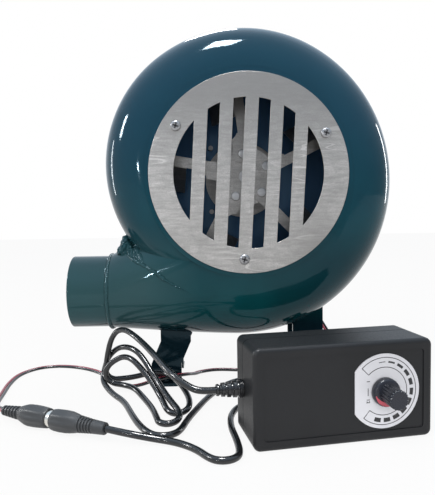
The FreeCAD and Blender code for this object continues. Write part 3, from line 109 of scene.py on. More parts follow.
class Tree:
    """Adds and joins the nodes of one node tree."""

    def __init__(self, tree: bpy.types.NodeTree) -> None:
        """Starts from an existing node tree."""
        self.tree = tree

    def put(self, target: Socket, value: object) -> None:
        """Joins a socket to an input, or sets a constant on it."""
        if isinstance(value, Socket):
            self.tree.links.new(value, target)
        else:
            target.default_value = value

    def add(self, kind: str, inputs: dict | None = None, **settings: object) -> Node:
        """Adds a node.

        Args:
            kind: the node's type name.
            inputs: a constant or a socket for each named input.
            settings: the node's own properties.

        Returns:
            The new node.
        """
        node = self.tree.nodes.new(kind)
        for key, value in settings.items():
            setattr(node, key, value)
        for key, value in (inputs or {}).items():
            self.put(node.inputs[key], value)
        return node

    def noise(self, vector: Socket, scale: object, detail: float = 3.0) -> Socket:
        """The value of a noise texture."""
        return self.add("ShaderNodeTexNoise", {"Vector": vector, "Scale": scale, "Detail": detail}).outputs["Fac"]

    def spread(self, value: Socket, source: Pair, target: Pair = (0.0, 1.0)) -> Socket:
        """A value moved from one range to another, and clamped."""
        return self.add("ShaderNodeMapRange", {
            "Value": value, "From Min": source[0], "From Max": source[1],
            "To Min": target[0], "To Max": target[1]}).outputs["Result"]

    def maths(self, operation: str, first: object, second: object = 0.0) -> Socket:
        """One step of arithmetic."""
        return self.add("ShaderNodeMath", {0: first, 1: second}, operation=operation).outputs[0]

    def vectors(self, operation: str, first: Socket, second: object) -> Node:
        """One step of arithmetic on vectors."""
        return self.add("ShaderNodeVectorMath", {0: first, 1: second}, operation=operation)

    def split(self, vector: Socket) -> Sockets:
        """The X, Y and Z of a vector."""
        return self.add("ShaderNodeSeparateXYZ", {0: vector}).outputs

    def blend(self, factor: object, low: object, high: object) -> Socket:
        """A mix of two colours."""
        node = self.add("ShaderNodeMix", data_type="RGBA")
        for index, value in ((0, factor), (6, low), (7, high)):
            self.put(node.inputs[index], value)
        return node.outputs[2]

    def layer(self, colour: Socket, over: Colour, mask: Socket, share: float) -> Socket:
        """A colour with another one laid over it where the mask is, by the share given."""
        return self.blend(self.maths("MULTIPLY", mask, share), colour, over)

    def region(self, place: Socket, rise: Pair, reach: Pair | None = None) -> Socket:
        """A mask that fades in over a height and, where given, over a width, in metres."""
        axes = self.split(place)
        mask = self.spread(axes["Z"], rise)
        return mask if reach is None else self.maths("MULTIPLY", self.spread(axes["X"], reach), mask)

    def use(self, group: bpy.types.NodeTree, place: Socket, **sizes: float) -> Sockets:
        """Adds a shared effect and gives its outputs; input names have underscores for spaces."""
        inputs = {key.replace("_", " "): value for key, value in sizes.items()}
        return self.add("ShaderNodeGroup", {"Vector": place, **inputs}, node_tree=group).outputs

    def bump(self, height: Socket, depth: float, strength: float) -> Socket:
        """A normal moved by a height; depth is in mm."""
        return self.add("ShaderNodeBump", {
            "Height": height, "Distance": depth * MM, "Strength": strength}).outputs["Normal"]

    def surface(self, **values: object) -> Node:
        """Sets the surface shader's inputs, and gives the shader; names have underscores for spaces."""
        shader = self.tree.nodes["Principled BSDF"]
        for key, value in values.items():
            self.put(shader.inputs[key.replace("_", " ")], value)
        return shader


# ---- camera and light ---------------------------------------------------------------
@dataclass(frozen=True)
class Lamp:
    """A soft lamp that looks at the blower: its place and size in metres, its power in watts."""

    name: str
    place: Point
    size: Pair
    power: float
    shine_only: bool = True
    look_at: Point = (0, -0.02, 0.16)

    def build(self) -> None:
        """Adds the lamp. One for shine only shows in reflections and adds no other light."""
        data = bpy.data.lights.new(self.name, "AREA")
        data.shape = "RECTANGLE"
        data.size, data.size_y = self.size
        data.energy = self.power
        lamp = link(self.name, data)
        lamp.visible_diffuse = not self.shine_only
        lamp.visible_glossy = self.shine_only
        look = Vector(self.look_at) - Vector(self.place)
        lamp.matrix_world = Matrix.Translation(self.place) @ look.to_track_quat("-Z", "Y").to_matrix().to_4x4()


LAMPS = (
    Lamp("key", (-0.5, -0.75, 1.25), (0.9, 0.9), 6.0, shine_only=False),
    Lamp("fill", (0.1, -1.3, 0.35), (0.9, 0.7), 7.0, shine_only=False),
    Lamp("ceiling", (-0.1, -0.27, 1.13), (0.22, 0.24), 13.0),
    Lamp("behind", (-0.1, 0.85, 1.0), (0.26, 0.2), 4.0),
    Lamp("window", (-0.98, -0.12, 0.58), (0.1, 0.2), 4.0),
    Lamp("doorway", (-1.0, 0.3, 0.2), (0.05, 0.5), 1.4),
    Lamp("flash", (-0.51, -0.91, 0.23), (0.05, 0.03), 1.0),
    Lamp("rim", (0.95, 0.5, 0.3), (0.05, 0.5), 1.6),
)


@dataclass
class Studio:
    """Pale floor, white surroundings, soft lamps and the camera."""

    camera_at: Point = (-21.37, -428.08, 127.96)
    yaw: float = -0.53
    pitch: float = -3.68
    roll: float = -0.92
    lens: float = 39.753
    long_side: float = 36.0
    floor_half: float = 2.5
    floor_tone: Colour = (0.97, 0.97, 0.97, 1)
    whiteness: float = 0.9
    ambient: float = 0.58
    ambient_tone: Colour = (0.97, 0.98, 1.0, 1)
    room: float = 0.42
    # an axis, where along it the mirrored room grows brighter, and how bright it gets
    walls: tuple[tuple[str, Pair, float], ...] = (
        ("Y", (0.2, 0.7), 1.0), ("Z", (0.1, 0.8), 1.4), ("X", (0.1, -0.8), 0.9))
    tint_rise: Pair = (-0.1, 0.7)
    tint_low: Colour = (0.93, 0.96, 1.0, 1)
    tint_high: Colour = (0.68, 0.83, 1.0, 1)

    def build(self) -> None:
        """Makes the floor, the world, the lamps and the camera."""
        self.make_camera()
        self.make_world()
        self.make_floor()
        for lamp in LAMPS:
            lamp.build()

    def make_camera(self) -> None:
        """Makes the camera that the scene is seen through."""
        data = bpy.data.cameras.new("camera")
        data.sensor_fit = "AUTO"
        data.sensor_width = self.long_side
        data.lens = self.lens
        camera = link("camera", data)
        camera.matrix_world = shift(self.camera_at) @ (
            turn(self.yaw, "Z") @ turn(90 + self.pitch, "X") @ turn(self.roll, "Z"))
        bpy.context.scene.camera = camera

    def make_world(self) -> None:
        """Makes a world that is white where the camera looks, and dimmer in front of the blower."""
        world = bpy.data.worlds.new("studio")
        bpy.context.scene.world = world
        world.use_nodes = True
        world.node_tree.nodes.clear()
        work = Tree(world.node_tree)
        way = work.split(work.add("ShaderNodeTexCoord").outputs["Generated"])
        glow = self.room
        for axis, span, bright in self.walls:
            glow = work.maths("MAXIMUM", glow, work.spread(way[axis], span, (self.room, bright)))
        tint = work.blend(work.spread(way["Z"], self.tint_rise), self.tint_low, self.tint_high)
        white = work.add("ShaderNodeBackground", {"Color": (1, 1, 1, 1)})
        mirrored = work.add("ShaderNodeBackground", {"Color": tint, "Strength": glow})
        lit = work.add("ShaderNodeBackground", {"Color": self.ambient_tone, "Strength": self.ambient})
        path = work.add("ShaderNodeLightPath").outputs
        shiny = work.add("ShaderNodeMixShader", {0: path["Is Glossy Ray"], 1: lit.outputs[0], 2: mirrored.outputs[0]})
        plain = work.maths("MAXIMUM", path["Is Camera Ray"], path["Is Transmission Ray"])
        mix = work.add("ShaderNodeMixShader", {0: plain, 1: shiny.outputs[0], 2: white.outputs[0]})
        work.add("ShaderNodeOutputWorld", {"Surface": mix.outputs[0]})

    def make_floor(self) -> None:
        """Makes the white floor, which keeps a faint shadow."""
        mesh = bpy.data.meshes.new("floor")
        work = bmesh.new()
        bmesh.ops.create_grid(work, x_segments=1, y_segments=1, size=self.floor_half)
        work.to_mesh(mesh)
        work.free()
        floor = link("floor", mesh)
        material = bpy.data.materials.new("floor_white")
        material.use_nodes = True
        work = Tree(material.node_tree)
        shader = work.surface(Base_Color=self.floor_tone, Roughness=0.9, Specular_IOR_Level=0.1)
        path = work.add("ShaderNodeLightPath").outputs
        seen = work.maths("MAXIMUM", path["Is Camera Ray"], path["Is Glossy Ray"])
        seen = work.maths("MAXIMUM", seen, path["Is Transmission Ray"])
        glow = work.add("ShaderNodeEmission", {"Color": (1, 1, 1, 1), "Strength": 1.0})
        mix = work.add("ShaderNodeMixShader", {
            0: work.maths("MULTIPLY", seen, self.whiteness), 1: shader.outputs[0], 2: glow.outputs[0]})
        work.put(work.tree.nodes["Material Output"].inputs["Surface"], mix.outputs[0])
        mesh.materials.append(material)


# ---- finishes -----------------------------------------------------------------------
def effect(name: str, sizes: dict[str, float],
           make: Callable[[Tree, Sockets], dict[str, Socket]]) -> bpy.types.NodeTree:
    """Builds a node group that takes a vector and some numbers and gives masks.

    Args:
        name: the group's name.
        sizes: the numbers that it takes, with their usual values.
        make: adds the group's nodes, and gives its outputs.

    Returns:
        The group.
    """
    tree = bpy.data.node_groups.new(name, "ShaderNodeTree")
    tree.interface.new_socket(name="Vector", in_out="INPUT", socket_type="NodeSocketVector")
    for key, value in sizes.items():
        tree.interface.new_socket(name=key, in_out="INPUT", socket_type="NodeSocketFloat").default_value = value
    work = Tree(tree)
    made = make(work, work.add("NodeGroupInput").outputs)
    for key in made:
        tree.interface.new_socket(name=key, in_out="OUTPUT", socket_type="NodeSocketFloat")
    work.add("NodeGroupOutput", made)
    return tree


class Effects:
    """The node groups that several finishes share."""

    scratch_turns: Point = (0.3, 1.05, 2.2)
    wobble: float = 0.006

    def __init__(self) -> None:
        """Builds every group once."""
        self.grain = effect("grain", {"Scale": 600.0, "Patch Scale": 20.0}, self.make_grain)
        self.brushing = effect("brushing", {"Scale": 900.0, "Stretch": 0.02}, self.make_brushing)
        self.scratches = effect("scratches", {"Scale": 90.0, "Width": 0.004}, self.make_scratches)
        self.spangle = effect("spangle", {"Scale": 190.0}, self.make_spangle)
        self.film = effect("film", {"Scale": 35.0}, self.make_film)

    def make_grain(self, work: Tree, given: Sockets) -> dict[str, Socket]:
        """Fine bumps, and large soft patches."""
        return {"Height": work.noise(given["Vector"], given["Scale"], detail=2.0),
                "Patches": work.noise(given["Vector"], given["Patch Scale"])}

    def make_brushing(self, work: Tree, given: Sockets) -> dict[str, Socket]:
        """Lines along the vector's X axis."""
        squeeze = work.add("ShaderNodeCombineXYZ", {"X": given["Stretch"], "Y": 1.0, "Z": 1.0})
        drawn = work.vectors("MULTIPLY", given["Vector"], squeeze.outputs[0]).outputs[0]
        coarse = work.maths("MULTIPLY", given["Scale"], 0.2)
        return {"Lines": work.noise(drawn, given["Scale"], detail=4.0), "Streaks": work.noise(drawn, coarse)}

    def make_scratches(self, work: Tree, given: Sockets) -> dict[str, Socket]:
        """Thin lines in a few directions, thinned out by patches."""
        lines = 0.0
        for angle in self.scratch_turns:
            turned = work.add("ShaderNodeMapping", {
                "Vector": given["Vector"], "Rotation": (0.2, angle, angle * 0.7), "Scale": (0.07, 1.0, 1.0)})
            value = work.noise(turned.outputs[0], given["Scale"], detail=1.0)
            apart = work.maths("ABSOLUTE", work.maths("SUBTRACT", value, 0.5))
            lines = work.maths("MAXIMUM", lines, work.maths("LESS_THAN", apart, given["Width"]))
        patches = work.spread(work.noise(given["Vector"], 45.0, detail=2.0), (0.5, 0.62))
        return {"Mask": work.maths("MULTIPLY", lines, patches)}

    def make_spangle(self, work: Tree, given: Sockets) -> dict[str, Socket]:
        """Crystals of zinc, each of its own tone."""
        wave = work.add("ShaderNodeTexNoise", {"Vector": given["Vector"], "Scale": 260.0, "Detail": 2.0})
        bent = work.vectors("MULTIPLY", wave.outputs["Color"], (self.wobble,) * 3)
        place = work.vectors("ADD", given["Vector"], bent.outputs[0])
        cells = work.add("ShaderNodeTexVoronoi", {"Vector": place.outputs[0], "Scale": given["Scale"]})
        return {"Tone": work.add("ShaderNodeSeparateColor", {"Color": cells.outputs["Color"]}).outputs["Red"]}

    def make_film(self, work: Tree, given: Sockets) -> dict[str, Socket]:
        """Soft matte patches."""
        return {"Mask": work.spread(work.noise(given["Vector"], given["Scale"], detail=5.0), (0.48, 0.72))}


@dataclass(frozen=True)
class Finish:
    """What every finish has: a name, a colour and a gloss."""

    name: str
    colour: Point
    rough: float = 0.5

    def build(self, effects: Effects) -> bpy.types.Material:
        """Makes the finish's material."""
        material = bpy.data.materials.new(self.name)
        material.use_nodes = True
        work = Tree(material.node_tree)
        self.paint(work, work.add("ShaderNodeTexCoord").outputs["Object"], effects)
        return material

    def paint(self, work: Tree, place: Socket, effects: Effects) -> None:
        """Adds the finish's own nodes, on the object's coordinates."""
        raise NotImplementedError

    def tone(self, factor: float) -> Colour:
        """The finish's colour, lighter or darker."""
        return (*(min(value * factor, 1.0) for value in self.colour), 1.0)

    def patchy(self, work: Tree, value: Socket, low: float, high: float) -> Socket:
        """The finish's colour with soft patches, from a darker to a lighter one."""
        return work.blend(work.spread(value, COARSE), self.tone(low), self.tone(high))

    def gloss_by(self, work: Tree, value: Socket, low: float, high: float) -> Socket:
        """The finish's roughness, varied by a fine noise."""
        return work.spread(value, FINE, (self.rough - low, self.rough + high))


@dataclass(frozen=True)
class Zone:
    """A region where the enamel is painted lighter for light or darker for shade: heights and widths, in metres,
    between which it fades in.
    """

    tone: Colour
    rise: Pair
    share: float = 1.0
    reach: Pair | None = None


@dataclass(frozen=True)
class Enamel(Finish):
    """Glossy sprayed enamel with orange peel, soft patches, a thin matte film, and painted light and shade by region.
    """

    peel: float = 0.3
    film: float = 0.07
    shine: float = 0.26
    shine_tone: Colour = (0.6, 0.85, 1.0, 1.0)
    painted_light_and_shade: tuple[Zone, ...] = (
        Zone((0.009, 0.038, 0.07, 1.0), (0.06, 0.19), 0.75),                        # painted reflection: bluer on the upper half
        Zone((0.035, 0.075, 0.08, 1.0), (0.12, 0.09), 0.62, (-0.03, -0.07)),        # painted reflection of the floor: lighter grey-teal on the lower duct and pipe
        Zone((0.003, 0.012, 0.018, 1.0), (0.125, 0.095), 0.5, (0.01, 0.05)),        # painted shade on the lower right
        Zone((0.003, 0.012, 0.018, 1.0), (0.052, 0.042)),                           # painted shade on the legs and the underside
    )
    # painted light: the lighter, bluer tone of the inner back wall seen through the inlet, and where it goes
    inside: Colour = (0.045, 0.1, 0.19, 1.0)
    fan: Point = (0.004, 0.0, 0.154)
    inside_r: float = 0.092
    inside_depth: float = 0.0205

    def paint(self, work: Tree, place: Socket, effects: Effects) -> None:
        """Adds the enamel's nodes."""
        grain = work.use(effects.grain, place, Scale=330.0, Patch_Scale=28.0)
        colour = self.patchy(work, grain["Patches"], 0.86, 1.14)
        # painted light and shade: lighter on the top and the duct, darker on the lower right and the legs
        for zone in self.painted_light_and_shade:
            colour = work.layer(colour, zone.tone, work.region(place, zone.rise, zone.reach), zone.share)
        # painted light on the inner back wall seen through the inlet
        colour = work.blend(self.within(work, place), colour, self.inside)
        film = work.use(effects.film, place)["Mask"]
        work.surface(Base_Color=colour, Roughness=work.spread(film, (0.0, 1.0), (self.rough, self.rough + self.film)),
                     Specular_IOR_Level=self.shine, Specular_Tint=self.shine_tone,
                     Normal=work.bump(grain["Height"], depth=self.peel, strength=0.12))

    def within(self, work: Tree, place: Socket) -> Socket:
        """A mask of the inner side of the housing's back wall, as seen through the inlet, where painted light goes."""
        depth = work.split(place)["Y"]
        facing = work.split(work.add("ShaderNodeNewGeometry").outputs["Normal"])["Y"]
        flat = work.vectors("MULTIPLY", place, (1.0, 0.0, 1.0)).outputs[0]
        mask = work.maths("LESS_THAN", work.vectors("DISTANCE", flat, self.fan).outputs["Value"], self.inside_r)
        for part in (work.maths("GREATER_THAN", depth), work.maths("LESS_THAN", depth, self.inside_depth),
                     work.maths("LESS_THAN", facing)):
            mask = work.maths("MULTIPLY", mask, part)
        return mask


@dataclass(frozen=True)
class SheetMetal(Finish):
    """Galvanised or plated sheet with brushing, spangle, scratches and painted shade on the top and lower right, by a
    share of its own.
    """

    metallic: float = 0.85
    spangle: float = 0.5
    brushing: float = 0.5
    lines: float = 700.0
    stretch: float = 0.02
    grain: float = 0.1
    # painted shade on the top and the lower right: its share, and the heights and widths in metres where it fades in
    shade_share: float = 0.0
    shade_top: Pair = (0.165, 0.205)
    shade_low: Pair = (0.13, 0.105)
    shade_right: Pair = (0.02, 0.05)

    def paint(self, work: Tree, place: Socket, effects: Effects) -> None:
        """Adds the sheet's nodes."""
        brushed = work.use(effects.brushing, place, Scale=self.lines, Stretch=self.stretch)
        crystals = work.maths("MULTIPLY", work.use(effects.spangle, place)["Tone"], self.spangle)
        colour = work.blend(crystals, self.tone(1.08), self.tone(0.72))
        # painted shade: darker on the top and the lower right
        painted_shade = work.maths("MAXIMUM", work.region(place, self.shade_top),
                          work.region(place, self.shade_low, self.shade_right))
        for mask, share, tone in (          # streaks, grain, scratches, film and painted shade
                (work.spread(brushed["Streaks"], (0.35, 0.7)), self.brushing, 0.66),
                (work.spread(work.noise(place, 1500.0), (0.42, 0.62)), self.grain, 0.5),
                (work.use(effects.scratches, place)["Mask"], 0.5, 1.5),
                (work.use(effects.film, place)["Mask"], 0.25, 0.55),
                (painted_shade, self.shade_share, 0.55)):
            colour = work.layer(colour, self.tone(tone), mask, share)
        work.surface(Base_Color=colour, Roughness=self.gloss_by(work, brushed["Lines"], 0.08, 0.12),
                     Metallic=self.metallic, Normal=work.bump(brushed["Lines"], depth=0.05, strength=0.25))


@dataclass(frozen=True)
class Moulded(Finish):
    """Moulded plastic, rubber or ferrite with a fine texture."""

    texture: float = 1500.0
    depth: float = 0.12
    gloss: float = 0.5

    def paint(self, work: Tree, place: Socket, effects: Effects) -> None:
        """Adds the plastic's nodes."""
        grain = work.use(effects.grain, place, Scale=self.texture)
        work.surface(Base_Color=self.patchy(work, grain["Patches"], 0.88, 1.12),
                     Roughness=self.gloss_by(work, grain["Height"], 0.06, 0.1),
                     Specular_IOR_Level=self.gloss, Normal=work.bump(grain["Height"], depth=self.depth, strength=0.3))


@dataclass(frozen=True)
class Metal(Finish):
    """Turned, ground, plated or wound metal with fine lines."""

    lines: float = 1500.0
    metallic: float = 1.0

    def paint(self, work: Tree, place: Socket, effects: Effects) -> None:
        """Adds the metal's nodes."""
        brushed = work.use(effects.brushing, place, Scale=self.lines, Stretch=0.25)
        work.surface(Base_Color=self.patchy(work, brushed["Streaks"], 0.85, 1.1),
                     Roughness=self.gloss_by(work, brushed["Lines"], 0.05, 0.12),
                     Metallic=self.metallic, Normal=work.bump(brushed["Lines"], depth=0.03, strength=0.2))


FINISHES: tuple[Finish, ...] = (
    Enamel("teal_paint", (0.002, 0.038, 0.043), 0.07),
    SheetMetal("galvanised_sheet", (0.54, 0.525, 0.51), 0.36, brushing=0.75, lines=3400.0, stretch=0.16,
               grain=0.45, shade_share=0.85),
    SheetMetal("zinc_screws", (0.34, 0.34, 0.35), 0.3, spangle=0.1, brushing=0.2),
    SheetMetal("motor_steel", (0.55, 0.55, 0.56), 0.34, spangle=0.05, brushing=0.4),
    Moulded("end_bell_plastic", (0.03, 0.03, 0.03), 0.5),
    Moulded("ferrite", (0.05, 0.05, 0.055), 0.7, depth=0.2),
    Metal("bearing_steel", (0.66, 0.66, 0.67), 0.28),
    Metal("brass_parts", (0.75, 0.6, 0.3), 0.3),
    Moulded("graphite", (0.06, 0.06, 0.06), 0.6),
    Metal("core_steel", (0.25, 0.25, 0.26), 0.5, lines=2500.0),
    Metal("copper_wire", (0.72, 0.38, 0.2), 0.35, lines=2200.0),
    Metal("hub_aluminium", (0.75, 0.75, 0.76), 0.33),
    Metal("rivet_aluminium", (0.72, 0.72, 0.73), 0.35),
    Metal("black_screws", (0.04, 0.04, 0.04), 0.4, metallic=0.6),
    Moulded("case_plastic", (0.011, 0.0115, 0.013), 0.42, texture=1700.0, depth=0.16, gloss=0.31),
    Metal("nickel_plate", (0.75, 0.73, 0.68), 0.2),
    Moulded("board_laminate", (0.05, 0.2, 0.09), 0.4),
    Moulded("dial_white", (0.6, 0.6, 0.63), 0.38, texture=2200.0, depth=0.04),
    Moulded("dial_print", (0.02, 0.02, 0.022), 0.5, texture=2200.0, depth=0.02),
    Moulded("knob_plastic", (0.011, 0.013, 0.022), 0.3, texture=1800.0, depth=0.05),
    Moulded("inlay_red", (0.48, 0.07, 0.1), 0.32, texture=1800.0, depth=0.05),
    Moulded("cord_pvc", (0.009, 0.0095, 0.011), 0.16, texture=700.0, depth=0.03, gloss=0.6),
    Moulded("lead_red", (0.42, 0.06, 0.09), 0.22, texture=700.0, depth=0.03, gloss=0.6),
    Moulded("connector_plastic", (0.033, 0.035, 0.038), 0.42, texture=1400.0, depth=0.1),
)


# ---- shared building steps ----------------------------------------------------------
def round_edges(work: Mesh, width: float, flat: float = 0.5, angle: float = 35.0) -> None:
    """Joins nearly flat faces, then rounds the sharp edges.

    Args:
        work: the mesh.
        width: how far the rounding reaches on each side of an edge, in mm.
        flat: faces that turn less than this many degrees are joined.
        angle: edges that turn more than this many degrees are rounded.
    """
    bmesh.ops.dissolve_limit(work, angle_limit=math.radians(flat), verts=work.verts, edges=work.edges,
                             use_dissolve_boundaries=False)
    edges = [edge for edge in work.edges if edge.is_manifold and edge.calc_face_angle(0.0) > math.radians(angle)]
    bmesh.ops.bevel(work, geom=edges, offset=width * MM, offset_type="OFFSET", segments=2,
                    profile=0.5, affect="EDGES", clamp_overlap=True, material=-1)


def keep_flats(mesh: bpy.types.Mesh) -> None:
    """Turns each vertex's normal to the largest faces beside it, so that flat faces shade flat."""
    sums = [Vector() for _ in mesh.vertices]
    for face in mesh.polygons:
        for index in face.vertices:
            sums[index] += face.normal * face.area
    mesh.normals_split_custom_set_from_vertices([total.normalized() for total in sums])


def lathe(profile: list[Pair] | tuple[Pair, ...], start: Vector, end: Vector, steps: int = 48) -> Mesh:
    """A turned solid.

    Args:
        profile: (distance from start, radius) in mm, from one end to the other, closed on the axis.
        start: the profile's origin, in metres.
        end: a point that the axis runs towards, in metres.
        steps: facets around.

    Returns:
        Its mesh, in metres.
    """
    work = bmesh.new()
    spots = [work.verts.new((radius * MM, 0.0, along * MM)) for along, radius in profile]
    for first, second in zip(spots, spots[1:]):
        work.edges.new((first, second))
    spin_around(work, "Z", steps)
    work.transform(Matrix.Translation(start) @ (end - start).to_track_quat("Z", "Y").to_matrix().to_4x4())
    return work


def spin_around(work: Mesh, axis: str, steps: int) -> None:
    """Spins what the mesh holds once about an axis through the origin."""
    bmesh.ops.spin(work, geom=work.verts[:] + work.edges[:], cent=(0, 0, 0), angle=math.tau, steps=steps,
                   axis=[float(axis == way) for way in "XYZ"], use_merge=True)
    bmesh.ops.remove_doubles(work, verts=work.verts, dist=MERGE)


def skin(work: Mesh, rings: list[list[bmesh.types.BMVert]]) -> None:
    """Joins rings of vertices into a tube with closed ends."""
    for first, second in zip(rings, rings[1:]):
        for index in range(len(first)):
            after = (index + 1) % len(first)
            work.faces.new((first[index], first[after], second[after], second[index]))
    work.faces.new(rings[0])
    work.faces.new(rings[-1])


def about(work: Mesh, start: Vector, end: Vector) -> Iterator[tuple[bmesh.types.BMVert, float, Vector, float]]:
    """Each vertex, how far along an axis it lies in mm, its way out from the axis, and its angle about it."""
    axis = (end - start).normalized()
    side = axis.cross(Vector((0, 0, 1))).normalized()
    up = side.cross(axis)
    for vert in work.verts:
        out = vert.co - start
        along = out.dot(axis)
        out -= axis * along
        yield vert, along / MM, out, math.atan2(out.dot(up), out.dot(side))


def ripple(work: Mesh, scale: float, depth: float) -> None:
    """Moves each vertex along its normal by smooth noise; scale is in 1/m and depth in mm."""
    work.normal_update()
    shifts = [(vert, vert.normal * noise.noise(vert.co * scale) * depth * MM) for vert in work.verts]
    for vert, move in shifts:
        vert.co += move


class Model:
    """The frame, its paints, and the steps that every sub-assembly uses."""

    def __init__(self) -> None:
        """Loads the frame and builds the finishes."""
        self.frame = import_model()
        record = self.frame["record"]
        effects = Effects()
        self.paint = {finish.name: finish.build(effects) for finish in FINISHES}
        self.body = {node: body for body, nodes in record["behaviour"]["bodies"].items() for node in nodes}
        self.slot = {part["node"]: part["material_slot"] for part in record["subparts"]}

    def dress(self) -> None:
        """Gives every CAD node that stays its finish."""
        for node, slot in self.slot.items():
            data = self.frame["nodes"][node].data
            data.materials.clear()
            data.materials.append(self.paint[slot])

    def copy(self, node: str) -> Mesh:
        """A CAD node's shape, as a mesh that may be changed."""
        source = self.frame["nodes"][node]
        work = bmesh.new()
        work.from_mesh(source.data)
        work.transform(source.matrix_world)
        bmesh.ops.remove_doubles(work, verts=work.verts, dist=CAD_MERGE)
        return work

    def add(self, name: str, work: Mesh, slot: str, body: str = "blower", finish: str = "", sharp: float = 40.0,
            node: str = "") -> bpy.types.Object:
        """Turns a bmesh into a dressed piece.

        Args:
            name: the piece's name.
            work: its mesh, in metres, which is used up.
            slot: the material slot that it takes its finish from.
            body: the body that it rides on.
            finish: its finish, where that isn't the slot's own.
            sharp: edges that turn more than this many degrees stay sharp.
            node: the CAD node that it replaces, if any.

        Returns:
            The new object.
        """
        bmesh.ops.recalc_face_normals(work, faces=work.faces)
        mesh = bpy.data.meshes.new(name)
        work.to_mesh(mesh)
        work.free()
        mesh.shade_smooth()
        mesh.set_sharp_from_angle(angle=math.radians(sharp))
        mesh.materials.append(self.paint[finish or slot])
        piece = link(name, mesh)
        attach(piece, body)
        if node:
            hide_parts(node)
        LOG.info(name)
        return piece

    def refine(self, node: str, width: float) -> None:
        """Stands in for a CAD node with a copy whose sharp edges are rounded, by a width in mm."""
        work = self.copy(node)
        round_edges(work, width)
        piece = self.add(node + "_rounded", work, self.slot[node], self.body[node], sharp=50.0, node=node)
        keep_flats(piece.data)


EASED = {                       # CAD nodes whose cut edges are rounded, and by how much in mm
    "inlet_guard": 0.22, "guard_screws": 0.12,
    **{side + "_leg": 0.35 for side in ("front_left", "front_right", "rear_left", "rear_right")},
    "impeller_disc": 0.2,
    **{"impeller_blade_%d" % number: 0.18 for number in range(1, 6)},
    "motor_mount_plate": 0.3,
}


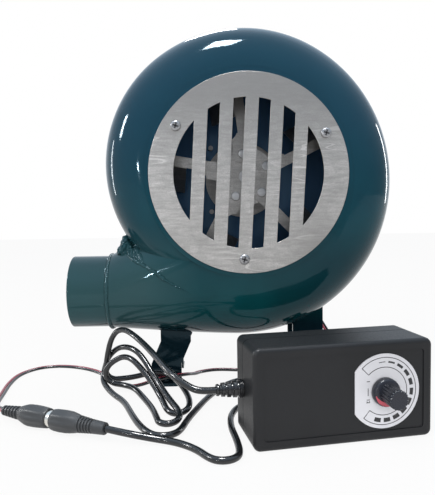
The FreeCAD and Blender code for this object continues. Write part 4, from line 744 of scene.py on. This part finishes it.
# ---- sub-assemblies -----------------------------------------------------------------
@dataclass
class Housing:
    """The outlet pipe's rounded rim and the rough weld beads; lengths in mm."""

    outlet_y: float = -16.75
    outlet_z: float = 70.0
    pipe_start: float = -98.5
    pipe: tuple[Pair, ...] = (
        (0.0, 25.0), (0.0, 26.2), (0.3, 26.5), (0.6, 26.5), (26.2, 26.5), (26.55, 26.5), (26.85, 26.37), (27.0, 26.1),
        (27.0, 25.4), (26.85, 25.13), (26.55, 25.0), (26.2, 25.0), (0.6, 25.0), (0.0, 25.0))
    ring_x: float = -96.9
    ring_r: float = 27.0
    ring_swell: Point = (0.9, 0.12, 0.16)
    bead_r: float = 1.6
    bead_facets: int = 12
    dimples: int = 74
    corner_x: float = -94.0
    corner_edge: float = 0.9
    corner_facet: float = 1.1
    rounds: int = 6
    lump_ripples: tuple[Pair, ...] = ((330.0, 1.5), (850.0, 1.0))
    seam: tuple[Pair, ...] = (
        (-84.1, 98.9), (-79.6, 96.5), (-74.8, 93.9), (-69.9, 91.6), (-65.9, 89.3), (-62.4, 87.3), (-58.1, 84.5),
        (-54.7, 81.7), (-49.9, 78.9), (-44.3, 75.8), (-36.1, 71.9))
    seam_r: float = 1.15
    seam_steps: int = 12
    seam_facets: int = 10
    seam_swell: Pair = (420.0, 0.7)
    seam_ripple: Pair = (700.0, 0.5)
    taper_start: float = 8.0
    taper_length: float = 6.0
    taper_pull: float = 0.3
    patch: tuple[Pair, ...] = ((-84.0, 100.5), (-76.0, 105.5), (-69.0, 91.5))
    drops: int = 110
    drop_strides: Point = (0.618, 0.755, 0.37)
    drop_r: Pair = (0.8, 1.6)
    drop_shape: Point = (1.3, 1.0, 0.8)
    drop_sink: float = 0.45
    before: float = -100.0

    def build(self, model: Model) -> None:
        """Makes the pipe with its rounded rim, and the beads."""
        start = metres((self.pipe_start, self.outlet_y, self.outlet_z))
        model.add("outlet_pipe_rounded", lathe(self.pipe, start, start - Vector((1, 0, 0)), steps=144),
                  "teal_paint", sharp=60.0, node="outlet_pipe")
        shell = model.copy("housing_front_shell")
        tree = BVHTree.FromBMesh(shell)
        shell.free()
        for name, work in (("weld_ring", self.ring()), ("weld_lump", self.lump(model.copy("weld_beads"), tree)),
                           ("weld_seam", self.bead(tree))):
            model.add(name, work, "teal_paint", sharp=80.0, node="weld_beads")

    def on_shell(self, tree: BVHTree, x: float, z: float) -> tuple[Vector | None, Vector | None]:
        """The spot of the front shell seen from the front at x and z, in metres, and its normal."""
        return tree.ray_cast(metres((x, self.before, z)), Vector((0, 1, 0)))[:2]

    def ring(self) -> Mesh:
        """The bead around the pipe, with the ripples of a hand-laid weld."""
        work = bmesh.new()
        bmesh.ops.create_circle(work, segments=self.bead_facets, radius=self.bead_r * MM,
                                matrix=shift((0, 0, self.ring_r)) @ turn(90, "X"))
        spin_around(work, "X", 4 * self.dimples)
        size, dimple, rough = self.ring_swell
        for vert in work.verts:
            around = math.atan2(vert.co.z, vert.co.y)
            core = Vector((0, math.cos(around), math.sin(around))) * self.ring_r * MM
            swell = size + dimple * math.sin(self.dimples * around) + rough * noise.noise(vert.co * 260)
            vert.co = core + (vert.co - core) * swell
        work.transform(shift((self.ring_x, self.outlet_y, self.outlet_z)))
        return work

    def lump(self, work: Mesh, tree: BVHTree) -> Mesh:
        """The rough weld that fills the tongue's corner, made from the CAD beads."""
        ring = [vert for vert in work.verts if vert.co.x < self.corner_x * MM]
        bmesh.ops.delete(work, geom=ring, context="VERTS")
        round_edges(work, self.corner_edge, flat=1.0, angle=34.4)
        for _ in range(self.rounds):
            bmesh.ops.triangulate(work, faces=work.faces)
            long = [edge for edge in work.edges if edge.calc_length() > self.corner_facet * MM]
            bmesh.ops.subdivide_edges(work, edges=long, cuts=1)
        bmesh.ops.triangulate(work, faces=work.faces)
        (seam_x, seam_z), *_ = self.seam
        for vert in work.verts:
            share = max(0.0, abs(vert.co.y / MM - self.outlet_y) - self.taper_start) / self.taper_length
            goal = Vector((seam_x * MM, vert.co.y, seam_z * MM))
            vert.co = vert.co.lerp(goal, self.taper_pull * min(1.0, share))
        for scale, depth in self.lump_ripples:
            ripple(work, scale, depth)
        self.spatter(work, tree)
        return work

    def spatter(self, work: Mesh, tree: BVHTree) -> None:
        """Adds the small rough drops that lie on the front shell between the lump and the seam."""
        first, second, third = (Vector(point) for point in self.patch)
        least, most = self.drop_r
        for number in range(self.drops):
            right, down, wide = ((number * stride) % 1.0 for stride in self.drop_strides)
            if right + down > 1.0:
                right, down = 1.0 - right, 1.0 - down
            place, normal = self.on_shell(tree, *(first + (second - first) * right + (third - first) * down))
            if place is None:
                continue
            radius = (least + (most - least) * wide) * MM
            bmesh.ops.create_icosphere(work, subdivisions=2, radius=radius, matrix=Matrix.Translation(
                place - normal * radius * self.drop_sink) @ Matrix.Diagonal((*self.drop_shape, 1.0)))

    def bead(self, tree: BVHTree) -> Mesh:
        """The thin rough bead where the drum's side runs into the duct, laid on the front shell."""
        spots = []
        for (x, z), (next_x, next_z) in zip(self.seam, self.seam[1:]):
            for step in range(self.seam_steps):
                share = step / self.seam_steps
                spots.append(self.on_shell(tree, x + (next_x - x) * share, z + (next_z - z) * share))
        work = bmesh.new()
        rings = []
        scale, rough = self.seam_swell
        for index, (place, normal) in enumerate(spots):
            earlier, later = spots[max(index - 1, 0)][0], spots[min(index + 1, len(spots) - 1)][0]
            side = (later - earlier).normalized().cross(normal).normalized()
            share = index / (len(spots) - 1)
            taper = min(1.0, 8 * share + 0.1, 3 * (1 - share) + 0.1)
            radius = self.seam_r * taper * (1 + rough * noise.noise(place * scale)) * MM
            angles = [math.tau * corner / self.seam_facets for corner in range(self.seam_facets)]
            rings.append([work.verts.new(place + (normal * math.sin(angle) + side * math.cos(angle)) * radius)
                          for angle in angles])
        skin(work, rings)
        ripple(work, *self.seam_ripple)
        return work


@dataclass
class GuardScrewShade:
    """Dark blocks painted into the cross recesses of the guard's screws as their shade; lengths in mm, angles in
    degrees.
    """

    middle: Point = (4.0, -58.2, 154.0)
    circle: float = 58.5
    angles: Point = (146.5, 26.5, -93.5)
    recess: Point = (3.8, 0.9, 1.0)
    recess_turn: float = 16.7

    def build(self, model: Model) -> None:
        """Fills the recesses with dark blocks, as painted shade."""
        work = bmesh.new()
        for angle in map(math.radians, self.angles):
            place = Vector(self.middle) + Vector((math.cos(angle), 0, math.sin(angle))) * self.circle
            for degrees in (self.recess_turn, self.recess_turn + 90):
                bmesh.ops.create_cube(work, size=MM, matrix=(
                    shift(place) @ turn(degrees, "Y") @ Matrix.Diagonal((*self.recess, 1.0))))
        # painted shade: the dark blocks take the ferrite finish
        model.add("guard_screw_recess_shade", work, "zinc_screws", finish="ferrite")


@dataclass
class Solder:
    """The solder on the motor's terminals; lengths in mm."""

    terminals: Point = (4.0, 95.85, 154.0)
    spacing: float = 9.0
    radius: float = 1.9
    shape: Point = (1.25, 0.9, 0.75)
    roughness: Pair = (500.0, 0.5)

    def build(self, model: Model) -> None:
        """Makes a rough blob on each terminal."""
        x, y, z = self.terminals
        for side, name in ((1, "red_joint"), (-1, "black_joint")):
            work = bmesh.new()
            bmesh.ops.create_icosphere(work, subdivisions=3, radius=self.radius * MM, matrix=(
                shift((x + side * self.spacing, y, z)) @ Matrix.Diagonal((*self.shape, 1.0))))
            ripple(work, *self.roughness)
            model.add(name, work, "nickel_plate")


@dataclass
class Adapter:
    """The adapter's case: its own axes and its strain relief; lengths in mm, angles in degrees."""

    corner: Point = (-1.03, -146.7, 0.0)
    yaw: float = 10.7
    split: float = 24.0
    height: float = 56.0
    gland_length: float = 15.5
    gland_root: float = 5.3
    gland_tip: float = 3.4
    gland_ribs: int = 4

    def place(self) -> Matrix:
        """From the case's own axes, in metres, to the row frame."""
        return shift(self.corner) @ turn(self.yaw, "Z")

    def point(self, x: float, y: float, z: float) -> Vector:
        """A point of the case, given in mm along its own axes, in the row frame."""
        return self.place() @ metres((x, y, z))

    def build(self, model: Model) -> None:
        """Makes the strain relief."""
        root, tip = (self.point(x, self.split, self.height / 2) for x in (0, -self.gland_length))
        profile = [(-3.0, 0.0), (-3.0, self.gland_root - 1), (0.0, self.gland_root - 1)]
        step = self.gland_length / (self.gland_ribs + 0.6)
        for rib in range(self.gland_ribs):
            start = step * rib + 0.4
            radius = self.gland_root + (self.gland_tip - self.gland_root) * start / self.gland_length
            profile += [(start, radius - 1.0), (start + 0.2, radius), (start + step * 0.6, radius - 0.1),
                        (start + step * 0.6 + 0.2, radius - 1.2), (start + step * 0.92, radius - 1.25)]
        profile += [(self.gland_length - step * 0.4, self.gland_tip), (self.gland_length - 0.3, self.gland_tip - 0.05),
                    (self.gland_length, self.gland_tip - 0.3), (self.gland_length, 0.0)]
        model.add("strain_relief", lathe(profile, root, tip), "cord_pvc", node="cord_gland")


@dataclass
class Dial:
    """The printed scale: two arcs, growing blocks and two numbers; lengths in mm, angles in degrees."""

    adapter: Adapter
    middle: Pair = (74.6, 28.0)
    plate_r: float = 21.0
    outer: float = 0.9
    inner: float = 0.64
    line: float = 0.4
    ends: Pair = (134.5, -130.5)
    end_half: float = 0.7
    first_block: float = 95.0
    last_block: float = -104.4
    blocks: tuple[float, ...] = (0.4, 1.0, 1.5, 2.0, 2.1, 2.1, 2.2, 2.3, 2.4, 2.4, 2.4)
    block_r: float = 0.78
    half_block: float = 6.8
    numbers: tuple[tuple[str, float], ...] = (("1", 6.0), ("12", -4.9))
    number_size: float = 2.6
    number_weight: float = 0.07
    number_x: float = -9.7
    dash: Pair = (0.1, 4.3)
    raised: float = 0.04

    def build(self, model: Model) -> None:
        """Makes the scale's lines, blocks and numbers."""
        work = bmesh.new()
        for radius in (self.outer, self.inner):
            self.arc(work, radius, self.line, *self.ends)
        for angle in self.ends:
            self.arc(work, (self.outer + self.inner) / 2, (self.outer - self.inner) * self.plate_r,
                     angle - self.end_half, angle + self.end_half)
        for number, width in enumerate(self.blocks):
            angle = self.first_block + (self.last_block - self.first_block) * number / (len(self.blocks) - 1)
            self.arc(work, self.block_r, width, angle + self.half_block, angle - self.half_block)
        bmesh.ops.create_grid(work, x_segments=1, y_segments=1, size=0.5, matrix=(
            shift((self.number_x, 0, self.dash[0]))
            @ Matrix.Diagonal((self.line * MM, 1, self.dash[1] * MM, 1)) @ turn(90, "X")))
        self.print_on(work)
        model.add("dial_scale", work, "dial_white", finish="dial_print")
        for text, along in self.numbers:
            model.add("dial_number_" + text, self.figures(text, along), "dial_white", finish="dial_print")

    def arc(self, work: Mesh, radius: float, width: float, start: float, end: float) -> None:
        """Adds a flat arc around the middle.

        Args:
            work: the mesh that it is added to.
            radius: its radius, as a share of the plate's.
            width: its width in mm.
            start: where it starts, in degrees from +X towards +Z.
            end: where it ends.
        """
        radius *= self.plate_r
        strip = bmesh.new()
        sides = [strip.verts.new(((radius + side * width / 2) * MM, 0, 0)) for side in (-1, 1)]
        edge = strip.edges.new(sides)
        bmesh.ops.spin(strip, geom=sides + [edge], cent=(0, 0, 0), axis=(0, -1, 0),
                       angle=math.radians(end - start), steps=max(2, int(abs(end - start) / 3)))
        strip.transform(turn(-start, "Y"))
        mesh = bpy.data.meshes.new("arc")
        strip.to_mesh(mesh)
        strip.free()
        work.from_mesh(mesh)
        bpy.data.meshes.remove(mesh)

    def figures(self, text: str, along: float) -> Mesh:
        """A number turned to read downwards, as flat faces on the plate."""
        data = bpy.data.curves.new("figures", "FONT")
        data.body = text
        data.size = self.number_size * MM
        data.offset = self.number_weight * MM
        data.align_x = "CENTER"
        data.align_y = "CENTER"
        holder = bpy.data.objects.new("figures", data)
        work = bmesh.new()
        work.from_mesh(holder.to_mesh())
        holder.to_mesh_clear()
        bpy.data.objects.remove(holder)
        bpy.data.curves.remove(data)
        work.transform(shift((self.number_x, 0, along)) @ turn(90, "Y") @ turn(90, "X"))
        self.print_on(work)
        return work

    def print_on(self, work: Mesh) -> None:
        """Lays flat faces just in front of the plate, with the depth of a thick ink."""
        x, z = self.middle
        work.transform(self.adapter.place() @ shift((x, -self.raised, z)))
        made = bmesh.ops.extrude_face_region(work, geom=work.faces[:])
        back = [item for item in made["geom"] if isinstance(item, bmesh.types.BMVert)]
        inward = self.adapter.place().to_3x3() @ Vector((0, 1, 0))
        bmesh.ops.translate(work, verts=back, vec=inward * self.raised * 0.8 * MM)


@dataclass
class Knob:
    """The knob: a smooth skirt with a coloured crescent, and a fluted grip; lengths in mm."""

    adapter: Adapter
    middle: Pair = (74.6, 28.0)
    back: float = -0.3
    length: float = 16.0
    skirt: tuple[Pair, ...] = (
        (0.0, 7.8), (0.4, 8.0), (2.4, 7.95), (3.2, 7.8), (3.8, 7.45), (4.1, 7.0), (4.3, 5.2))
    grip: tuple[Pair, ...] = (
        (4.6, 5.05), (9.0, 5.25), (15.2, 5.5), (15.7, 5.35), (16.0, 5.0), (16.0, 2.0), (16.0, 0.0))
    inside: tuple[Pair, ...] = ((12.8, 0.0), (12.8, 3.02), (2.2, 3.02), (2.2, 5.55), (0.0, 5.55))
    flutes: int = 18
    flute_depth: float = 0.5
    flute_r: float = 4.0
    crescent_r: float = 7.35
    crescent_width: float = 2.2
    crescent_blunt: float = 0.03
    crescent_taper: float = 0.7
    ends: Pair = (-172.0, -45.0)
    steps: int = 44
    proud: float = 0.12
    sunk: float = 0.5

    def build(self, model: Model) -> None:
        """Makes the knob and its crescent."""
        back, tip = (self.adapter.point(self.middle[0], along, self.middle[1])
                     for along in (self.back, self.back - self.length))
        work = lathe(self.inside + self.skirt + self.grip, back, tip, steps=16 * self.flutes)
        for vert, along, out, around in about(work, back, tip):
            if along > self.skirt[-1][0] and out.length > self.flute_r * MM:
                wave = 0.5 + 0.5 * math.cos(self.flutes * around)
                vert.co -= out.normalized() * (self.flute_depth * wave ** 3 * MM)
        model.add("knob_body", work, "knob_plastic", body="knob", sharp=34.0, node="speed_knob")
        model.add("knob_crescent", self.crescent(), "inlay_red", body="knob", node="knob_inlay")

    def shoulder(self, radius: float) -> float:
        """How far along the axis the skirt's front lies at a radius."""
        for (first, high), (second, low) in zip(self.skirt[2:], self.skirt[3:]):
            if radius >= low:
                return first + (second - first) * (high - radius) / (high - low)
        return self.skirt[-1][0]

    def crescent(self) -> Mesh:
        """The crescent, thin at both ends, that lies on the lower left of the skirt's shoulder."""
        work = bmesh.new()
        start, end = map(math.radians, self.ends)
        rings = []
        for step in range(self.steps + 1):
            share = step / self.steps
            angle = start + (end - start) * share
            outer = self.crescent_r
            along = min(max(share, self.crescent_blunt), 1 - self.crescent_blunt)
            inner = outer - self.crescent_width * math.sin(math.pi * along) ** self.crescent_taper
            rings.append([work.verts.new(metres((
                radius * math.cos(angle), self.back - self.shoulder(radius) - above, radius * math.sin(angle))))
                for radius, above in ((outer, self.proud), ((outer + inner) / 2, self.proud), (inner, self.proud),
                                      (inner, -self.sunk), (outer, -self.sunk))])
        skin(work, rings)
        x, z = self.middle
        work.transform(self.adapter.place() @ shift((x, 0, z)))
        return work


@dataclass
class Connectors:
    """The ribbed jack and plug, pushed together on the floor; lengths in mm."""

    tail: Point = (-153.0, -92.5, 6.8)
    end: Point = (-83.4, -125.5, 6.8)
    plug_at: float = 39.5
    radius: float = 6.8
    ribs: int = 5
    rib_height: float = 0.65
    facets: int = 8
    facet_depth: float = 0.07
    facet_r: float = 5.2

    def build(self, model: Model) -> None:
        """Makes both housings."""
        tail, end = metres(self.tail), metres(self.end)
        total = (end - tail).length / MM
        jack = [(0.0, 0.0), (0.0, 2.7), (0.3, 3.0), *self.boot(0.3, 13.2, 3.1, 4.0), (14.5, 4.5), (18.0, 5.7),
                (20.5, 6.45), (23.0, 6.8), (27.5, 6.75), (31.5, 6.5), (34.9, 6.1), (35.6, 5.9), (36.0, 5.5),
                (36.0, 4.2), (33.5, 4.2), (33.5, 0.0)]
        plug = [(2.0, 0.0), (2.0, 4.4), (0.0, 4.4), (0.0, 5.5), (0.6, 6.1), (3.0, 6.6), (7.5, 6.8), (12.0, 6.6),
                (15.5, 5.9), (18.5, 5.1), *self.boot(19.5, 29.2, 4.9, 4.1), (29.6, 4.0)]
        plug = [(self.plug_at + along, radius) for along, radius in plug]
        plug += [(total - 0.4, 3.5), (total, 3.2), (total, 0.0)]
        for name, profile, node in (("jack_body", jack, "jack_housing"), ("plug_body", plug, "plug_housing")):
            work = lathe(profile, tail, end, steps=96)
            self.press(work, tail, end)
            model.add(name, work, "connector_plastic", sharp=32.0, node=node)

    def boot(self, start: float, stop: float, first: float, last: float) -> list[Pair]:
        """The ribs of a bend relief, as points of a profile."""
        points = []
        pitch = (stop - start) / self.ribs
        for rib in range(self.ribs):
            high = first + (last - first) * rib / (self.ribs - 1)
            points += [(start + pitch * (rib + share), high - drop) for share, drop in (
                (0.08, 0.0), (0.5, 0.0), (0.62, self.rib_height), (0.94, self.rib_height))]
        return points

    def press(self, work: Mesh, tail: Vector, end: Vector) -> None:
        """Presses shallow finger facets into the thick stretches."""
        for vert, _, out, around in about(work, tail, end):
            share = max(0.0, out.length / MM - self.facet_r) / (self.radius - self.facet_r)
            wave = 0.5 - 0.5 * math.cos(self.facets * around)
            vert.co -= out * (self.facet_depth * wave * min(1.0, share))


# ---- cords --------------------------------------------------------------------------
@dataclass
class Cord:
    """A round cord along one smooth curve: its route and diameter in mm, its length in metres."""

    name: str
    diameter: float
    length: float
    paint: str
    nodes: tuple[str, ...]
    far_end: str
    lay: str
    pieces: list[str]
    route: tuple[Point, ...]

    def build(self, model: Model) -> None:
        data = bpy.data.curves.new(self.name, "CURVE")
        data.dimensions = "3D"
        data.bevel_depth = self.diameter / 2 * MM
        data.bevel_resolution = 5
        data.resolution_u = 10
        data.use_fill_caps = True
        spline = data.splines.new("NURBS")
        spline.points.add(len(self.route) - 1)
        for point, place in zip(spline.points, self.route):
            point.co = (*metres(place), 1.0)
        spline.order_u = 3
        spline.use_endpoint_u = True
        piece = link(self.name, data)
        data.materials.append(model.paint[self.paint])
        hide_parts(*self.nodes)
        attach(piece, "blower")
        tuple(v * MM for v in self.route[0])
        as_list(self.pieces)
        LOG.info(self.name)


ADAPTER_CORD = Cord(            # from the strain relief through the loops to the plug
    name="adapter_cord", diameter=4.0, length=1.07, paint="cord_pvc",
    nodes=("cord_to_hank", "cord_hank", "cord_to_plug"), far_end="plug", lay="coiled",
    pieces=["plug_body", "plug_barrel"], route=(
    (-20.72, -126, 28), (-27.5, -127.5, 28), (-34.5, -126.5, 29.2), (-46.5, -116, 34.5), (-57, -95, 39),
    (-67, -73, 42), (-76.5, -57.5, 45.2), (-84, -49, 47.3), (-90.5, -43, 45), (-95.5, -38.5, 38), (-98.5, -36, 28),
    (-100.5, -34, 18), (-101, -32, 10.5), (-97, -30, 6.2), (-88.8, -29, 6.2), (-80, -28.5, 7.2), (-71.8, -28.5, 9.2),
    (-62, -29.5, 10.5), (-53.7, -38, 11), (-45.3, -56, 10.4), (-39.5, -71, 7.3), (-37.5, -82, 5.7), (-38.5, -90, 4),
    (-44.5, -93.5, 2.4), (-51.5, -89.5, 2.6), (-56, -77.5, 7), (-64.3, -66, 16), (-72.5, -58, 22.8), (-78.8, -52, 27),
    (-85.3, -46, 27.3), (-91.8, -42, 24), (-98.5, -39, 18.5), (-101, -37.5, 11), (-96, -37.5, 5.4), (-87, -40.5, 5),
    (-78, -48, 5), (-70, -62, 2.6), (-62, -81, 2.1), (-57.5, -98, 2.3), (-55.5, -106, 2.1), (-49, -109, 2.1),
    (-43, -104.5, 3.2), (-43.5, -96.5, 5.5), (-50, -86.5, 9), (-56.9, -74.5, 14), (-64.3, -64, 21.6),
    (-69.9, -58, 28.5), (-75.8, -52, 33), (-83.4, -45, 34), (-91.5, -36, 31), (-99.5, -30, 23), (-103, -27, 14),
    (-104, -30, 7.5), (-101.5, -37.5, 4.6), (-93, -51.6, 2.1), (-82, -68, 2.1), (-74, -91, 2.1), (-67, -109, 2.1),
    (-59.3, -122.3, 2.1), (-52.9, -126, 2.1), (-46.2, -124.6, 2.1), (-41.6, -118.6, 2.1), (-38.2, -101, 2.1),
    (-32.8, -83, 2.1), (-27, -64, 2.1), (-18.5, -45, 2.1), (-8.5, -28, 2.1), (8, -20.5, 2.1), (25, -27, 2.1),
    (32, -44, 2.1), (25, -61, 2.1), (8, -69.5, 2.1), (-6, -80, 2.1), (-12, -96, 2.1), (-12.3, -115, 2.1),
    (-9.5, -134, 2.1), (-8.5, -150, 2.1), (-11.5, -156.2, 2.1), (-17.6, -158.6, 2.1), (-24, -156.2, 2.1),
    (-32, -143.5, 2.1), (-43, -134.5, 2.1), (-56, -131.6, 3.2), (-70.5, -130.9, 6), (-83.4, -125.5, 6.8),
))


class Side(Enum):
    """Which wire of the twin lead."""

    RED = -1
    BLACK = 1


@dataclass
class TwinLead:
    """The motor's twin lead, from its terminals to the jack; lengths in mm."""

    # x, y and z of the pair's middle, and half the distance between the wires
    route: tuple[tuple[float, float, float, float], ...] = (
        (4, 96.25, 154, 9), (4, 106, 151, 9), (7, 111, 138, 6.5), (14, 109, 122, 3), (22, 103, 110, 1.2),
        (34, 93, 90, 1.2), (47, 81, 71, 1.2), (60, 68, 52, 1.2), (72, 55, 34, 1.2), (81, 42, 17, 1.2),
        (85.5, 29, 5, 1.2), (82, 15, 1.1, 1.2), (68, 5, 1.1, 1.2), (46, 0.5, 1.1, 1.2), (22, 0, 1.1, 1.2),
        (-2, 5, 1.1, 1.2), (-20, 8, 1.1, 1.2), (-33, 2, 1.1, 1.2), (-37, -10, 3, 1.2), (-43, -21.5, 6.5, 1.2),
        (-64, -33, 6.5, 1.2), (-75, -36, 3.2, 1.2), (-85, -33, 1.1, 1.2), (-93, -25, 1.1, 1.2), (-104, -7, 1.1, 1.2),
        (-119, 11, 1.1, 1.2), (-136, 22, 1.1, 1.2), (-154, 26, 1.1, 1.2), (-169, 20, 1.1, 1.2), (-177.5, 3, 1.1, 1.2),
        (-177, -20, 1.1, 1.2), (-173, -43, 1.1, 1.2), (-169, -65, 1.8, 1.2), (-164.5, -80, 4.5, 1.2),
        (-153, -92.5, 6.8, 1.15),
    )
    diameter: float = 2.0

    def beside(self, side: Side) -> tuple[Point, ...]:
        """The route of one wire, beside the middle of the pair."""
        points = []
        for index, (x, y, z, half) in enumerate(self.route):
            earlier = self.route[max(index - 1, 0)]
            later = self.route[min(index + 1, len(self.route) - 1)]
            heading = Vector((later[0] - earlier[0], later[1] - earlier[1])).normalized()
            points.append((x - side.value * half * heading.y, y + side.value * half * heading.x, z))
        return tuple(points)

    def build(self, model: Model) -> None:
        """Makes both wires."""
        for side, name, node, paint, length, piece in (
                (Side.RED, "red_wire", "red_lead", "lead_red", 0.627, "jack_body"),
                (Side.BLACK, "black_wire", "black_lead", "cord_pvc", 0.64, "jack_collar")):
            Cord(name=name, diameter=self.diameter, length=length, paint=paint, nodes=(node,), far_end="connector",
                 lay="loose", pieces=[piece], route=self.beside(side)).build(model)


def main() -> None:
    """Builds the visual model on the frame."""
    bpy.context.scene.view_settings.view_transform = "Standard"
    model = Model()
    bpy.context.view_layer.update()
    Studio().build()
    model.dress()
    for node, width in EASED.items():
        model.refine(node, width)
    adapter = Adapter()
    for group in (Housing(), GuardScrewShade(), Solder(), adapter, Dial(adapter), Knob(adapter), Connectors(),
                  ADAPTER_CORD, TwinLead()):
        group.build(model)


if __name__ == "__main__":
    logging.basicConfig(level=logging.INFO, stream=sys.stdout)
    main()
